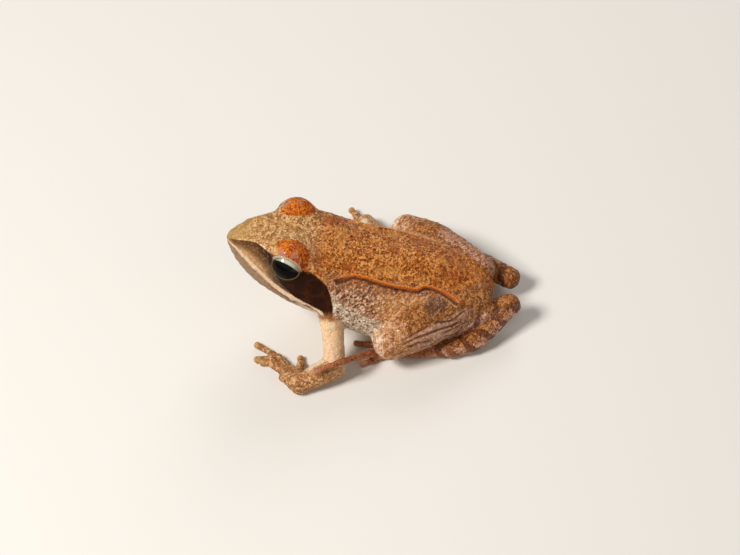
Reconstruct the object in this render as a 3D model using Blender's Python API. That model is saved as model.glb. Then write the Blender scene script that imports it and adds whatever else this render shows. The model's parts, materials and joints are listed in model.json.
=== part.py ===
"""Wood frog at life size, sitting with its head raised, as a still display model.

The frog faces -X with its left side towards -Y, and rests on the plane Z = 0.
Sizes below are in millimetres and become metres where a mesh is made. Five lines
that run from snout to vent carry the body, and every limb is a tapered tube along
a short path. Neighbouring pieces stand GAP apart.
"""

import math

import bmesh
import bpy
import numpy as np
from mathutils import Vector

MM = 0.001
GAP = 0.3
MERGE = 0.005
SMOOTH_ANGLE = 40
LEFT, RIGHT = -1, 1
UP = (0.0, 0.0, 1.0)
SIDE_NAME = {LEFT: "left", RIGHT: "right"}

# The body, from the tip of the snout to the vent. Each tuple has one value for a
# station of STATION_X. Widths are half widths, and heights are above the floor.
STATION_X = (-22.2, -20.9, -17.6, -12.5, -7.5, -2.0, 4.0, 10.0, 15.0, 18.8, 20.3)
BACK_HEIGHT = (17.7, 19.1, 19.8, 19.6, 18.6, 16.5, 14.5, 12.7, 10.4, 7.8, 5.2)
FOLD_WIDTH = (0.0, 1.3, 2.75, 4.8, 5.7, 5.5, 5.05, 4.5, 4.0, 2.6, 0.0)
FOLD_HEIGHT = (17.7, 18.8, 19.3, 18.6, 17.5, 15.1, 13.15, 11.25, 9.1, 6.9, 5.2)
FLANK_WIDTH = (0.0, 2.6, 5.2, 7.8, 9.2, 9.9, 10.4, 9.2, 6.6, 3.2, 0.0)
FLANK_HEIGHT = (17.7, 16.7, 15.1, 13.0, 11.4, 9.0, 7.0, 6.2, 5.6, 5.2, 5.2)
LOW_WIDTH = (0.0, 2.3, 4.8, 6.5, 7.0, 8.0, 8.8, 7.6, 5.0, 2.4, 0.0)
LOW_HEIGHT = (17.7, 15.4, 12.8, 10.1, 7.2, 4.2, 2.6, 2.2, 2.8, 3.9, 5.2)
BELLY_HEIGHT = (17.7, 15.0, 11.9, 8.7, 5.8, 2.9, 1.3, 1.1, 1.8, 3.4, 5.2)
BODY_COLUMNS = 32
BODY_ROWS = 40

# The head is parted from the torso by a leaning plane, and the jaw from the head
# by the line of the mouth, which follows the widest line of the head.
NECK_POINT = (-4.6, 0.0, 13.0)
NECK_LEAN = (0.905, 0.0, -0.425)
MOUTH_END_STATION = 4
MOUTH_HEIGHT = (16.0, 14.3, 12.2, 10.7)

# Eyes.
EYE_CENTRE = (-11.6, 5.1, 17.45)
EYE_RADIUS = 2.8
EYE_LOOK = (-0.15, 0.88, 0.34)
LID_RADII = (3.6, 3.55, 3.5)
LID_OPENING = (2.66, 2.1)

# Ear drums, set on the side of the head behind the eye. Lines are counted from the
# back: 1 is the fold, 2 the flank.
DRUM_X = -7.3
DRUM_LINE = 1.5
DRUM_RADIUS = 1.5
DRUM_THICKNESS = 0.8

NOSTRIL_X = -18.8
NOSTRIL_LINE = 1.15
NOSTRIL_RADIUS = 0.42

# Limbs, given for the right side with y outwards. Radii are half sizes.
LIMBS = {
    LEFT: {
        "shoulder": (-5.2, 8.4, 8.8),
        "elbow": (-4.85, 14.5, 2.6),
        "wrist": (-10.5, 17.4, 1.45),
        "knee": (3.7, 11.4, 4.9),
        "heel": (23.2, 2.6, 4.5),
        "rise": 0.6,
    },
    RIGHT: {
        "shoulder": (-4.0, 8.4, 8.8),
        "elbow": (-0.6, 12.8, 3.4),
        "wrist": (-2.6, 17.4, 1.45),
        "knee": (4.7, 12.7, 4.9),
        "heel": (22.8, 3.8, 3.3),
        "rise": -0.1,
    },
}
SHOULDER_ROOT = (-2.6, 4.6, 9.6)
HIP = (17.8, 2.8, 6.1)
TARSUS_BEND = (17.7, 8.0, 2.15)
ANKLE = (13.5, 9.7, 1.5)

ARM_JOINTS = ("shoulder", "elbow", "wrist")
UPPER_ARM_RADII = (2.3, 1.95, 1.75, 1.75)
FOREARM_RADII = (1.85, 2.0, 1.75, 1.45)
THIGH_WIDTHS = (2.9, 3.7, 3.9, 2.9)
THIGH_HEIGHTS = (2.6, 3.5, 4.0, 2.8)
SHANK_RADII = (2.0, 2.05, 2.0, 1.6)
TARSUS_RADII = (1.65, 1.7, 1.4)

# Hand, as offsets from the wrist in x and y with heights above the floor.
PALM_END = (-2.2, -2.4, 1.0)
PALM_SIZE = ((1.45, 1.6), (1.3, 1.0))
FINGERS = (
    ((-0.3, -2.4, 1.1), (-0.3, -4.4, 0.75), (-0.5, -6.2, 0.45)),
    ((-1.3, -2.8, 1.05), (-4.2, -6.0, 0.75), (-8.0, -8.9, 0.45)),
    ((-2.2, -2.3, 1.0), (-5.1, -5.5, 0.8), (-7.7, -5.7, 0.6)),
    ((-2.1, -1.8, 0.9), (-4.6, -4.6, 0.6), (-6.7, -5.2, 0.45)),
)
SPREAD_FINGER = ((-0.9, 0.2, 1.1), (-1.8, 1.8, 1.15), (-2.8, 3.3, 1.0))
SPREAD_SIDE = RIGHT
SPREAD_INDEX = 3
FINGER_RADII = (0.85, 0.68, 0.55)

# Foot, with each toe from the ball of the foot to its tip.
FOOT_BALL = (6.6, 9.3, 0.9)
LEG_POINTS = (HIP, TARSUS_BEND, ANKLE, FOOT_BALL)
FOOT_SIZE = ((1.3, 1.9), (1.2, 0.85))
TOES = (
    ((5.6, 8.3, 0.8), (4.6, 7.3, 0.6), (3.6, 6.3, 0.45)),
    ((5.0, 8.6, 0.8), (3.0, 7.3, 0.6), (0.9, 6.1, 0.45)),
    ((4.6, 9.0, 0.8), (1.3, 8.4, 0.6), (-2.2, 7.9, 0.45)),
    ((4.4, 9.4, 0.8), (-0.6, 9.6, 0.6), (-5.6, 9.0, 0.45)),
    ((4.6, 9.9, 0.8), (1.9, 11.0, 0.6), (-0.8, 12.3, 0.45)),
)
CLIMBING_TOE = (
    (4.4, 9.4, 0.85),
    (1.6, 10.4, 1.3),
    (-0.4, 12.5, 3.0),
    (-2.9, 15.1, 4.9),
    (-5.3, 16.3, 5.0),
    (-7.4, 17.1, 4.5),
)
CLIMBING_SIDE = LEFT
CLIMBING_INDEX = 3
TOE_RADII = (0.8, 0.62, 0.5)
WEB_THICKNESS = 0.55
WEB_HEIGHT = 0.6
WEB_REACH = 0.5
WEB_NOTCH = 0.62

# Raised lines: the fold down each side of the back, and the upper lip.
FOLD_SPAN = (-2.4, 14.2)
FOLD_LINE = 1.07
FOLD_RADIUS = 0.5
FOLD_RISE = 0.1
LIP_SPAN = (-20.6, -7.9)
LIP_RADIUS = 0.5
LIP_ABOVE_MOUTH = 0.62

# How finely round shapes are divided, and how their ends are rounded.
BALL_COLUMNS = 20
BALL_ROWS = 11
EYE_ROWS = 13
DIMPLE_COLUMNS = 10
DIMPLE_ROWS = 7
ROD_SIDES = 20
TUBE_SIDES = 12
TUBE_RINGS = 9
THIGH_SIDES = 20
SHANK_SIDES = 16
LEG_RINGS = 11
DIGIT_SIDES = 8
DIGIT_RINGS = 5
CLIMBING_RINGS = 13
END_REACH = 0.8
END_STEPS = (0.35, 0.72)
POLE_BUNCHING = 0.14
RIDGE_POINTS = 8
RIDGE_END = 0.45

# Reach of the shapes that only cut: out of the eye, out of the ear drum's recess,
# and across the mouth in x, y and z.
OPENING_REACH = 8.0
RECESS_REACH = 2.0
MOUTH_SPACE_X = (-26.0, 6.0)
MOUTH_SPACE_Y = (-15.0, 15.0)
MOUTH_SPACE_Z = (-20.0, 40.0)
MOUTH_STEPS = 25

# Linear red, green and blue, and roughness.
FINISH = {
    "torso": ((0.46, 0.16, 0.04), 0.5),
    "head": ((0.42, 0.2, 0.07), 0.5),
    "lower_jaw": ((0.62, 0.5, 0.36), 0.5),
    "eye": ((0.02, 0.015, 0.01), 0.15),
    "tympanum": ((0.06, 0.015, 0.004), 0.45),
    "upper_arm": ((0.68, 0.4, 0.22), 0.4),
    "forearm": ((0.62, 0.34, 0.14), 0.4),
    "hand": ((0.58, 0.32, 0.13), 0.4),
    "thigh": ((0.44, 0.18, 0.07), 0.5),
    "shank": ((0.42, 0.2, 0.1), 0.5),
    "tarsus": ((0.45, 0.2, 0.08), 0.5),
    "foot": ((0.38, 0.16, 0.08), 0.5),
}


def spline(knots, where):
    """Catmull-Rom curve through knots, read at knot positions 'where'."""
    knots = np.asarray(knots, float)
    last = len(knots) - 1
    before = 2 * knots[0] - knots[1]
    after = 2 * knots[last] - knots[last - 1]
    padded = np.concatenate([[before], knots, [after]])
    where = np.clip(np.asarray(where, float), 0, last)
    cell = np.minimum(where.astype(int), last - 1)
    t = where - cell
    shape = (-1,) + (1,) * (knots.ndim - 1)
    t = t.reshape(shape)
    a, b, c, d = (padded[cell + k] for k in range(4))
    return 0.5 * (
        2 * b + (c - a) * t + (2 * a - 5 * b + 4 * c - d) * t**2 + (3 * b - a - 3 * c + d) * t**3
    )


def body_meridians():
    """Eight lines from snout to vent, in order round the body from the back."""
    x = np.array(STATION_X)
    zero = np.zeros(len(x))
    half = [
        (zero, np.array(BACK_HEIGHT)),
        (np.array(FOLD_WIDTH), np.array(FOLD_HEIGHT)),
        (np.array(FLANK_WIDTH), np.array(FLANK_HEIGHT)),
        (np.array(LOW_WIDTH), np.array(LOW_HEIGHT)),
        (zero, np.array(BELLY_HEIGHT)),
    ]
    ring = half + [(-y, z) for y, z in reversed(half[1:4])]
    return np.stack([np.stack([x, y, z], 1) for y, z in ring])


def body_grid(rows, columns):
    """Points of the body's surface, rows by columns, without the two poles."""
    lines = body_meridians()
    count = len(lines)
    last = lines.shape[1] - 1
    opposite = np.roll(lines, count // 2, 0)
    through = np.concatenate([opposite[:, 1:2], lines, opposite[:, last - 1 : last]], 1)
    u = np.linspace(0, 1, rows + 2)[1:-1]
    eased = 0.5 - 0.5 * np.cos(math.pi * u)
    u = last * (u + POLE_BUNCHING * (eased - u))
    along = np.stack([spline(line, u + 1) for line in through])
    wrapped = np.concatenate([along[-1:], along, along[:2]])
    v = np.arange(columns) * count / columns
    return np.stack([spline(wrapped[:, k], v + 1) for k in range(rows)])


def body_shape(grow=0.0):
    """Vertices and faces of the whole body, grown outwards by 'grow'."""
    grid = body_grid(BODY_ROWS, BODY_COLUMNS)
    snout = np.array([STATION_X[0], 0, BACK_HEIGHT[0]])
    vent = np.array([STATION_X[-1], 0, BACK_HEIGHT[-1]])
    verts, faces = ring_mesh(grid, snout, vent)
    return grown(verts, faces, grow), faces


def ring_mesh(grid, start, end):
    """Vertices and faces of rings joined in order, closed by two end points."""
    rings, sides = grid.shape[:2]
    verts = np.concatenate([[start], grid.reshape(-1, 3), [end]])
    faces = []
    for s in range(sides):
        n = (s + 1) % sides
        faces.append((0, 1 + n, 1 + s))
        for r in range(rings - 1):
            a = 1 + r * sides
            b = a + sides
            faces.append((a + s, a + n, b + n, b + s))
        tail = 1 + (rings - 1) * sides
        faces.append((tail + s, tail + n, len(verts) - 1))
    return verts, faces


def grown(verts, faces, distance):
    """The same vertices moved outwards along their normals."""
    if not distance:
        return verts
    mesh = bpy.data.meshes.new("grown")
    mesh.from_pydata(verts.tolist(), [], faces)
    shape = bmesh.new()
    shape.from_mesh(mesh)
    bmesh.ops.recalc_face_normals(shape, faces=shape.faces)
    shape.normal_update()
    moved = np.array([v.co + v.normal * distance for v in shape.verts])
    shape.free()
    bpy.data.meshes.remove(mesh)
    return moved


def tube_shape(path, widths, heights, sides=TUBE_SIDES, rings=TUBE_RINGS, grow=0.0):
    """Vertices and faces of a tapered tube with rounded ends.

    'widths' and 'heights' are half sizes at the path's points. Each rounded end
    reaches END_REACH of the mean half size past the path.
    """
    path = np.asarray(path, float)
    last = len(path) - 1
    t = np.linspace(0, last, rings)
    middle = spline(path, t)
    ahead = spline(path, np.minimum(t + 0.02, last)) - spline(path, np.maximum(t - 0.02, 0))
    ahead /= np.linalg.norm(ahead, axis=1)[:, None]
    across = np.cross(ahead, UP)
    across /= np.linalg.norm(across, axis=1)[:, None]
    rise = np.cross(across, ahead)
    wide = spline(np.asarray(widths, float), t) + grow
    high = spline(np.asarray(heights, float), t) + grow
    reach_a = END_REACH * (wide[0] + high[0]) / 2
    reach_b = END_REACH * (wide[-1] + high[-1]) / 2
    turns = [share * math.pi / 2 for share in END_STEPS]
    loops = [(middle[0] - ahead[0] * reach_a * math.cos(turn), 0, math.sin(turn)) for turn in turns]
    loops += [(middle[k], k, 1.0) for k in range(rings)]
    for turn in reversed(turns):
        loops.append((middle[-1] + ahead[-1] * reach_b * math.cos(turn), rings - 1, math.sin(turn)))
    angle = np.arange(sides) * 2 * math.pi / sides
    grid = np.stack(
        [
            centre
            + np.outer(np.cos(angle) * wide[k] * size, across[k])
            + np.outer(np.sin(angle) * high[k] * size, rise[k])
            for centre, k, size in loops
        ]
    )
    start = middle[0] - ahead[0] * reach_a
    end = middle[-1] + ahead[-1] * reach_b
    return ring_mesh(grid, start, end)


def ball_shape(centre, radii, columns=BALL_COLUMNS, rows=BALL_ROWS, axis=None):
    """Vertices and faces of an ellipsoid."""
    phi = np.linspace(0, math.pi, rows + 2)[1:-1]
    theta = np.arange(columns) * 2 * math.pi / columns
    across = np.sin(phi)[:, None]
    level = np.repeat(np.cos(phi)[:, None], columns, 1)
    sphere = np.stack([across * np.cos(theta), across * np.sin(theta), level], 2)
    verts, faces = ring_mesh(sphere, np.array([0, 0, 1.0]), np.array([0, 0, -1.0]))
    verts = verts * np.asarray(radii, float)
    if axis is not None:
        turn = Vector(UP).rotation_difference(Vector(axis)).to_matrix()
        verts = verts @ np.array(turn).T
    return verts + np.asarray(centre, float), faces


def rod_shape(start, end, radii):
    """Vertices and faces of an elliptical rod between two points.

    The first radius lies level, the second stands across it.
    """
    start, end = np.asarray(start, float), np.asarray(end, float)
    ahead = (end - start) / np.linalg.norm(end - start)
    level = np.cross(ahead, UP)
    level /= np.linalg.norm(level)
    rise = np.cross(level, ahead)
    angle = np.arange(ROD_SIDES) * 2 * math.pi / ROD_SIDES
    ring = np.outer(np.cos(angle) * radii[0], level) + np.outer(np.sin(angle) * radii[1], rise)
    return ring_mesh(np.stack([start + ring, end + ring]), start, end)


def make(name, shape):
    """A mesh object from vertices and faces in millimetres.

    A piece of the model gets its own material, and a shape that only joins or cuts
    gets none.
    """
    verts, faces = shape
    mesh = bpy.data.meshes.new(name)
    mesh.from_pydata((np.asarray(verts) * MM).tolist(), [], faces)
    form = bmesh.new()
    form.from_mesh(mesh)
    bmesh.ops.recalc_face_normals(form, faces=form.faces)
    form.to_mesh(mesh)
    form.free()
    obj = bpy.data.objects.new(name, mesh)
    bpy.context.scene.collection.objects.link(obj)
    finish_of = FINISH.get(name.removesuffix("_left").removesuffix("_right"))
    if finish_of:
        mesh.materials.append(material(name, *finish_of))
    return obj


def bake(obj):
    """Replaces an object's mesh by what its modifiers make of it."""
    seen = obj.evaluated_get(bpy.context.evaluated_depsgraph_get())
    mesh = bpy.data.meshes.new_from_object(seen)
    old = obj.data
    obj.modifiers.clear()
    obj.data = mesh
    mesh.name = obj.name
    bpy.data.meshes.remove(old)


def largest_shell(obj):
    """Keeps the largest closed surface of a mesh and drops the rest."""
    form = bmesh.new()
    form.from_mesh(obj.data)
    bmesh.ops.remove_doubles(form, verts=form.verts, dist=1e-7)
    left = set(form.verts)
    shells = []
    while left:
        found = {left.pop()}
        edge = list(found)
        while edge:
            linked = {e.other_vert(v) for v in edge for e in v.link_edges} - found
            found |= linked
            edge = list(linked)
        left -= found
        shells.append(found)
    keep = max(shells, key=len)
    bmesh.ops.delete(form, geom=[v for v in form.verts if v not in keep], context="VERTS")
    form.to_mesh(obj.data)
    form.free()


def combine(obj, others, operation, solver="EXACT"):
    """Joins, cuts or intersects an object with others, which are then removed."""
    group = bpy.data.collections.new("tools")
    bpy.context.scene.collection.children.link(group)
    for other in others:
        bpy.context.scene.collection.objects.unlink(other)
        group.objects.link(other)
    modifier = obj.modifiers.new("combine", "BOOLEAN")
    modifier.operand_type = "COLLECTION"
    modifier.collection = group
    modifier.operation = operation
    modifier.solver = solver
    bake(obj)
    for other in others:
        bpy.data.objects.remove(other)
    bpy.data.collections.remove(group)
    largest_shell(obj)
    return obj


def cut_by_plane(obj, point, normal):
    """Keeps the part of a closed mesh on the side that the normal points to."""
    form = bmesh.new()
    form.from_mesh(obj.data)
    bmesh.ops.bisect_plane(
        form,
        geom=form.verts[:] + form.edges[:] + form.faces[:],
        dist=1e-8,
        plane_co=Vector(point) * MM,
        plane_no=Vector(normal).normalized(),
        clear_inner=True,
    )
    rim = [e for e in form.edges if e.is_boundary]
    bmesh.ops.holes_fill(form, edges=rim, sides=0)
    bmesh.ops.recalc_face_normals(form, faces=form.faces)
    form.to_mesh(obj.data)
    form.free()
    return obj


def part_joint(before, after, point, normal):
    """Parts two pieces at a joint plane, half the gap to each side.

    The normal points from 'before' to 'after'.
    """
    point = np.asarray(point, float)
    ahead = unit(normal)
    cut_by_plane(before, point - ahead * GAP / 2, -ahead)
    cut_by_plane(after, point + ahead * GAP / 2, ahead)


def material(name, colour, roughness):
    """A plain material of one colour."""
    made = bpy.data.materials.new(name)
    made.use_nodes = True
    shader = made.node_tree.nodes["Principled BSDF"]
    shader.inputs["Base Color"].default_value = (*colour, 1)
    shader.inputs["Roughness"].default_value = roughness
    shader.inputs["Metallic"].default_value = 0
    return made


def mirrored(point, side):
    """A point given for the right side, put on 'side'."""
    return (point[0], point[1] * side, point[2])


def station_at(x):
    """Position along the stations at which the body's lines have this x."""
    fine = np.linspace(0, len(STATION_X) - 1, 400)
    return np.interp(x, spline(np.array(STATION_X), fine), fine)


def skin_point(x, line):
    """Point and outward normal of the body at x, on the line counted from the back.

    Line 0 is the back, 1 the fold, 2 the flank, 3 the low line and 4 the belly, with
    fractions between them.
    """
    def at(u, v):
        along = np.stack([spline(one, [u])[0] for one in body_meridians()])
        ring = np.concatenate([along[-1:], along, along[:2]])
        return spline(ring, [v + 1])[0]

    u = station_at(x)
    step = 0.02
    point = at(u, line)
    ahead = at(u + step, line) - at(u - step, line)
    round_body = at(u, line + step) - at(u, line - step)
    normal = np.cross(ahead, round_body)
    return point, normal / np.linalg.norm(normal)


def side_line(line, side):
    """A line counted down the right side, or its twin on the left."""
    return line if side == RIGHT else 8 - line


def clear_scene():
    """Removes everything that the scene holds at the start."""
    for obj in list(bpy.data.objects):
        bpy.data.objects.remove(obj)


def unit(vector):
    """The vector at length one."""
    vector = np.asarray(vector, float)
    return vector / np.linalg.norm(vector)


def mouth_height(x):
    """Height of the line of the mouth, carried on straight past its corner."""
    reach = np.array(STATION_X[1 : MOUTH_END_STATION + 1])
    low = np.array(MOUTH_HEIGHT)
    slope = (low[-1] - low[-2]) / (reach[-1] - reach[-2])
    return np.where(x > reach[-1], low[-1] + slope * (x - reach[-1]), np.interp(x, reach, low))


def mouth_prism(above):
    """Space above or below the surface of the mouth, half the gap away from it."""
    x = np.linspace(*MOUTH_SPACE_X, MOUTH_STEPS)
    far = MOUTH_SPACE_Z[1] if above else MOUTH_SPACE_Z[0]
    z = mouth_height(x) + (GAP / 2 if above else -GAP / 2)
    outline = np.concatenate([np.stack([x, z], 1), [[x[-1], far], [x[0], far]]])
    count = len(outline)
    sides = [np.stack([outline[:, 0], np.full(count, y), outline[:, 1]], 1) for y in MOUTH_SPACE_Y]
    verts = np.concatenate(sides)
    faces = [(k, (k + 1) % count, count + (k + 1) % count, count + k) for k in range(count)]
    faces.append(tuple(range(count)))
    faces.append(tuple(range(2 * count - 1, count - 1, -1)))
    return verts, faces


def ridge_shape(points, radius, grow=0.0):
    """A raised line that tapers at both ends."""
    count = len(points)
    bow = np.sin(np.pi * np.arange(count) / (count - 1)) ** 0.5
    radii = radius * (RIDGE_END + (1 - RIDGE_END) * bow)
    return tube_shape(points, radii, radii, DIGIT_SIDES, 2 * count - 1, grow)


def fold_shape(side, grow=0.0):
    """The fold of skin along one side of the back."""
    points = []
    for x in np.linspace(*FOLD_SPAN, RIDGE_POINTS):
        point, normal = skin_point(x, side_line(FOLD_LINE, side))
        points.append(point + normal * FOLD_RISE)
    return ridge_shape(points, FOLD_RADIUS, grow)


def lip_shape(side):
    """The upper lip of one side, just above the line of the mouth."""
    points = []
    for x in np.linspace(*LIP_SPAN, RIDGE_POINTS):
        height = mouth_height(x) + LIP_ABOVE_MOUTH
        lines = np.linspace(1, 3, 60)
        heights = [skin_point(x, side_line(line, side))[0][2] for line in lines]
        line = np.interp(-height, -np.array(heights), lines)
        points.append(skin_point(x, side_line(line, side))[0])
    return ridge_shape(points, LIP_RADIUS)


def build_trunk():
    """Torso, head, lower jaw, eyes and ear drums."""
    torso = make("torso", body_shape())
    head = make("head", body_shape())
    part_joint(head, torso, NECK_POINT, NECK_LEAN)
    combine(torso, [make("fold", fold_shape(side)) for side in (LEFT, RIGHT)], "UNION")
    added = []
    for side in (LEFT, RIGHT):
        added.append(make("lid", ball_shape(mirrored(EYE_CENTRE, side), LID_RADII)))
        added.append(make("lip", lip_shape(side)))
    combine(head, added, "UNION")
    jaw = make("lower_jaw", body_shape())
    cut_by_plane(jaw, np.array(NECK_POINT) - unit(NECK_LEAN) * GAP / 2, -unit(NECK_LEAN))
    combine(jaw, [make("space", mouth_prism(False))], "INTERSECT")
    combine(head, [make("space", mouth_prism(True))], "INTERSECT")
    for side in (LEFT, RIGHT):
        for hollow in build_eye(side) + build_drum(side) + [nostril(side)]:
            combine(head, [hollow], "DIFFERENCE")


def build_eye(side):
    """The eye of one side, and the hollow that it needs in the head."""
    centre = np.array(mirrored(EYE_CENTRE, side))
    look = unit(mirrored(EYE_LOOK, side))
    make(f"eye_{SIDE_NAME[side]}", ball_shape(centre, [EYE_RADIUS] * 3, rows=EYE_ROWS, axis=look))
    socket = make("socket", ball_shape(centre, [EYE_RADIUS + GAP] * 3, axis=look))
    opening = make("opening", rod_shape(centre, centre + look * OPENING_REACH, LID_OPENING))
    return [combine(socket, [opening], "UNION")]


def build_drum(side):
    """The ear drum of one side, and the recess that it stands in."""
    point, normal = skin_point(DRUM_X, side_line(DRUM_LINE, side))
    inner = point - normal * DRUM_THICKNESS
    make(f"tympanum_{SIDE_NAME[side]}", rod_shape(inner, point, [DRUM_RADIUS] * 2))
    recess = rod_shape(inner - normal * GAP, point + normal * RECESS_REACH, [DRUM_RADIUS + GAP] * 2)
    return [make("recess", recess)]


def nostril(side):
    """The small hollow of one nostril."""
    point, normal = skin_point(NOSTRIL_X, side_line(NOSTRIL_LINE, side))
    radii = [NOSTRIL_RADIUS] * 3
    return make("nostril", ball_shape(point, radii, DIMPLE_COLUMNS, DIMPLE_ROWS, normal))


def limb(name, path, widths, heights, sides=TUBE_SIDES, rings=TUBE_RINGS):
    """One tapered piece of a limb."""
    return make(name, tube_shape(path, widths, heights, sides, rings))


def straight(start, end):
    """Four points evenly along a straight line."""
    start, end = np.asarray(start, float), np.asarray(end, float)
    return [start + (end - start) * k / 3 for k in range(4)]


def build_arm(side):
    """Upper arm, forearm and hand of one side."""
    word = SIDE_NAME[side]
    root = mirrored(SHOULDER_ROOT, side)
    shoulder, elbow, wrist = (np.array(mirrored(LIMBS[side][key], side)) for key in ARM_JOINTS)
    middle = (shoulder + elbow) / 2
    upper_path = [root, shoulder, middle, elbow]
    upper = limb(f"upper_arm_{word}", upper_path, UPPER_ARM_RADII, UPPER_ARM_RADII)
    fore = limb(f"forearm_{word}", straight(elbow, wrist), FOREARM_RADII, FOREARM_RADII)
    outwards = np.array([1, side, 1])
    base = np.array([wrist[0], wrist[1], 0])
    palm_end = base + np.array(PALM_END) * outwards
    hand = limb(f"hand_{word}", [wrist, palm_end], *PALM_SIZE, rings=DIGIT_RINGS)
    fingers = []
    for index, finger in enumerate(FINGERS):
        spreads = side == SPREAD_SIDE and index == SPREAD_INDEX
        path = [base + np.array(p) * outwards for p in (SPREAD_FINGER if spreads else finger)]
        fingers.append(limb("finger", path, FINGER_RADII, FINGER_RADII, DIGIT_SIDES, DIGIT_RINGS))
    combine(hand, fingers, "UNION")
    part_joint(upper, fore, elbow, unit(elbow - middle) + unit(wrist - elbow))
    part_joint(fore, hand, wrist, unit(wrist - elbow) + unit(palm_end - wrist))
    combine(upper, [make("body", body_shape(GAP))], "DIFFERENCE")
    cut_by_plane(hand, (0, 0, 0), UP)


def point_along(path, reach):
    """The point of a path at a distance from its start."""
    lengths = np.linalg.norm(np.diff(path, axis=0), axis=1)
    position = np.interp(reach, np.concatenate([[0], np.cumsum(lengths)]), np.arange(len(path)))
    return spline(path, [position])[0]


def web_shape(ball, first, second):
    """A flat web between two toes, from the ball of the foot to a notch."""
    reach = WEB_REACH * min(np.linalg.norm(toe[-1] - toe[0]) for toe in (first, second))
    ends = [point_along(first, reach), point_along(second, reach)]
    notch = ball + ((ends[0] + ends[1]) / 2 - ball) * WEB_NOTCH
    corners = np.array([ball, ends[0], notch, ends[1]])
    low, high = corners.copy(), corners.copy()
    low[:, 2] = WEB_HEIGHT - WEB_THICKNESS / 2
    high[:, 2] = WEB_HEIGHT + WEB_THICKNESS / 2
    faces = [(0, 1, 2), (0, 2, 3), (4, 6, 5), (4, 7, 6)]
    faces += [(k, 4 + k, 4 + (k + 1) % 4, (k + 1) % 4) for k in range(4)]
    return np.concatenate([low, high]), faces


def build_foot(side, ankle, ball):
    """The foot of one side with its toes and webs."""
    foot = limb(f"foot_{SIDE_NAME[side]}", [ankle, ball], *FOOT_SIZE, rings=DIGIT_RINGS)
    added = []
    paths = []
    for index, toe in enumerate(TOES):
        climbs = side == CLIMBING_SIDE and index == CLIMBING_INDEX
        path = [mirrored(p, side) for p in (CLIMBING_TOE if climbs else toe)]
        paths.append(np.array(path))
        radii = spline(TOE_RADII, np.linspace(0, len(TOE_RADII) - 1, len(path)))
        rings = CLIMBING_RINGS if climbs else DIGIT_RINGS
        added.append(limb("toe", path, radii, radii, DIGIT_SIDES, rings))
    added += [make("web", web_shape(ball, *pair)) for pair in zip(paths, paths[1:])]
    return combine(foot, added, "UNION")


def build_leg(side):
    """Thigh, shank, tarsus and foot of one side."""
    word = SIDE_NAME[side]
    knee, heel = (np.array(mirrored(LIMBS[side][key], side)) for key in ("knee", "heel"))
    hip, bend, ankle, ball = (np.array(mirrored(p, side)) for p in LEG_POINTS)
    thigh_path = straight(hip, knee)
    for middle in thigh_path[1:3]:
        middle[2] += LIMBS[side]["rise"]
    shank_tube = (straight(knee, heel), SHANK_RADII, SHANK_RADII, SHANK_SIDES, LEG_RINGS)
    thigh = limb(f"thigh_{word}", thigh_path, THIGH_WIDTHS, THIGH_HEIGHTS, THIGH_SIDES, LEG_RINGS)
    shank = limb(f"shank_{word}", *shank_tube)
    tarsus = limb(f"tarsus_{word}", [heel, bend, ankle], TARSUS_RADII, TARSUS_RADII)
    foot = build_foot(side, ankle, ball)
    part_joint(thigh, shank, knee, unit(knee - hip) + unit(heel - knee))
    part_joint(shank, tarsus, heel, unit(heel - knee) + unit(bend - heel))
    part_joint(tarsus, foot, ankle, unit(ankle - bend) + unit(ball - ankle))
    grown_fold = make("fold", fold_shape(side, GAP))
    combine(thigh, [make("body", body_shape(GAP)), grown_fold], "DIFFERENCE")
    combine(shank, [make("body", body_shape(GAP))], "DIFFERENCE")
    combine(foot, [make("space", tube_shape(*shank_tube, grow=GAP))], "DIFFERENCE")
    cut_by_plane(foot, (0, 0, 0), UP)


def finish():
    """Sets every piece on the floor about the origin, in plain triangles, shaded smooth."""
    pieces = [obj for obj in bpy.context.scene.objects if obj.type == "MESH"]
    points = np.array([v.co for obj in pieces for v in obj.data.vertices])
    low, high = points.min(0), points.max(0)
    shift = Vector((-(low[0] + high[0]) / 2, -(low[1] + high[1]) / 2, -low[2]))
    for obj in pieces:
        form = bmesh.new()
        form.from_mesh(obj.data)
        bmesh.ops.translate(form, verts=form.verts, vec=shift)
        bmesh.ops.dissolve_degenerate(form, edges=form.edges, dist=MERGE * MM)
        bmesh.ops.triangulate(form, faces=form.faces)
        bmesh.ops.recalc_face_normals(form, faces=form.faces)
        form.to_mesh(obj.data)
        form.free()
        obj.data.shade_smooth()
        obj.data.set_sharp_from_angle(angle=math.radians(SMOOTH_ANGLE))


def main():
    """Builds the whole frog."""
    clear_scene()
    build_trunk()
    for side in (LEFT, RIGHT):
        build_arm(side)
        build_leg(side)
    finish()


if __name__ == "__main__":
    main()
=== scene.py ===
"""Looks of a life-size wood frog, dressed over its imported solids.

Lengths here are in millimetres, in the frog's own frame: it faces -X, its left side
is towards -Y, the floor is Z = 0 and its middle line is Y = 0. They become metres in
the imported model's frame when a mesh is written. The skin is one closed surface that
is settled on the smooth union of the forms of the body and limbs. Its markings are
worked out as distances on the surface and painted by the shader.
"""

import json
import logging
import math
from dataclasses import dataclass
from enum import Enum

import bmesh
import bpy
import numpy as np
from mathutils import Matrix, Vector

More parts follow.
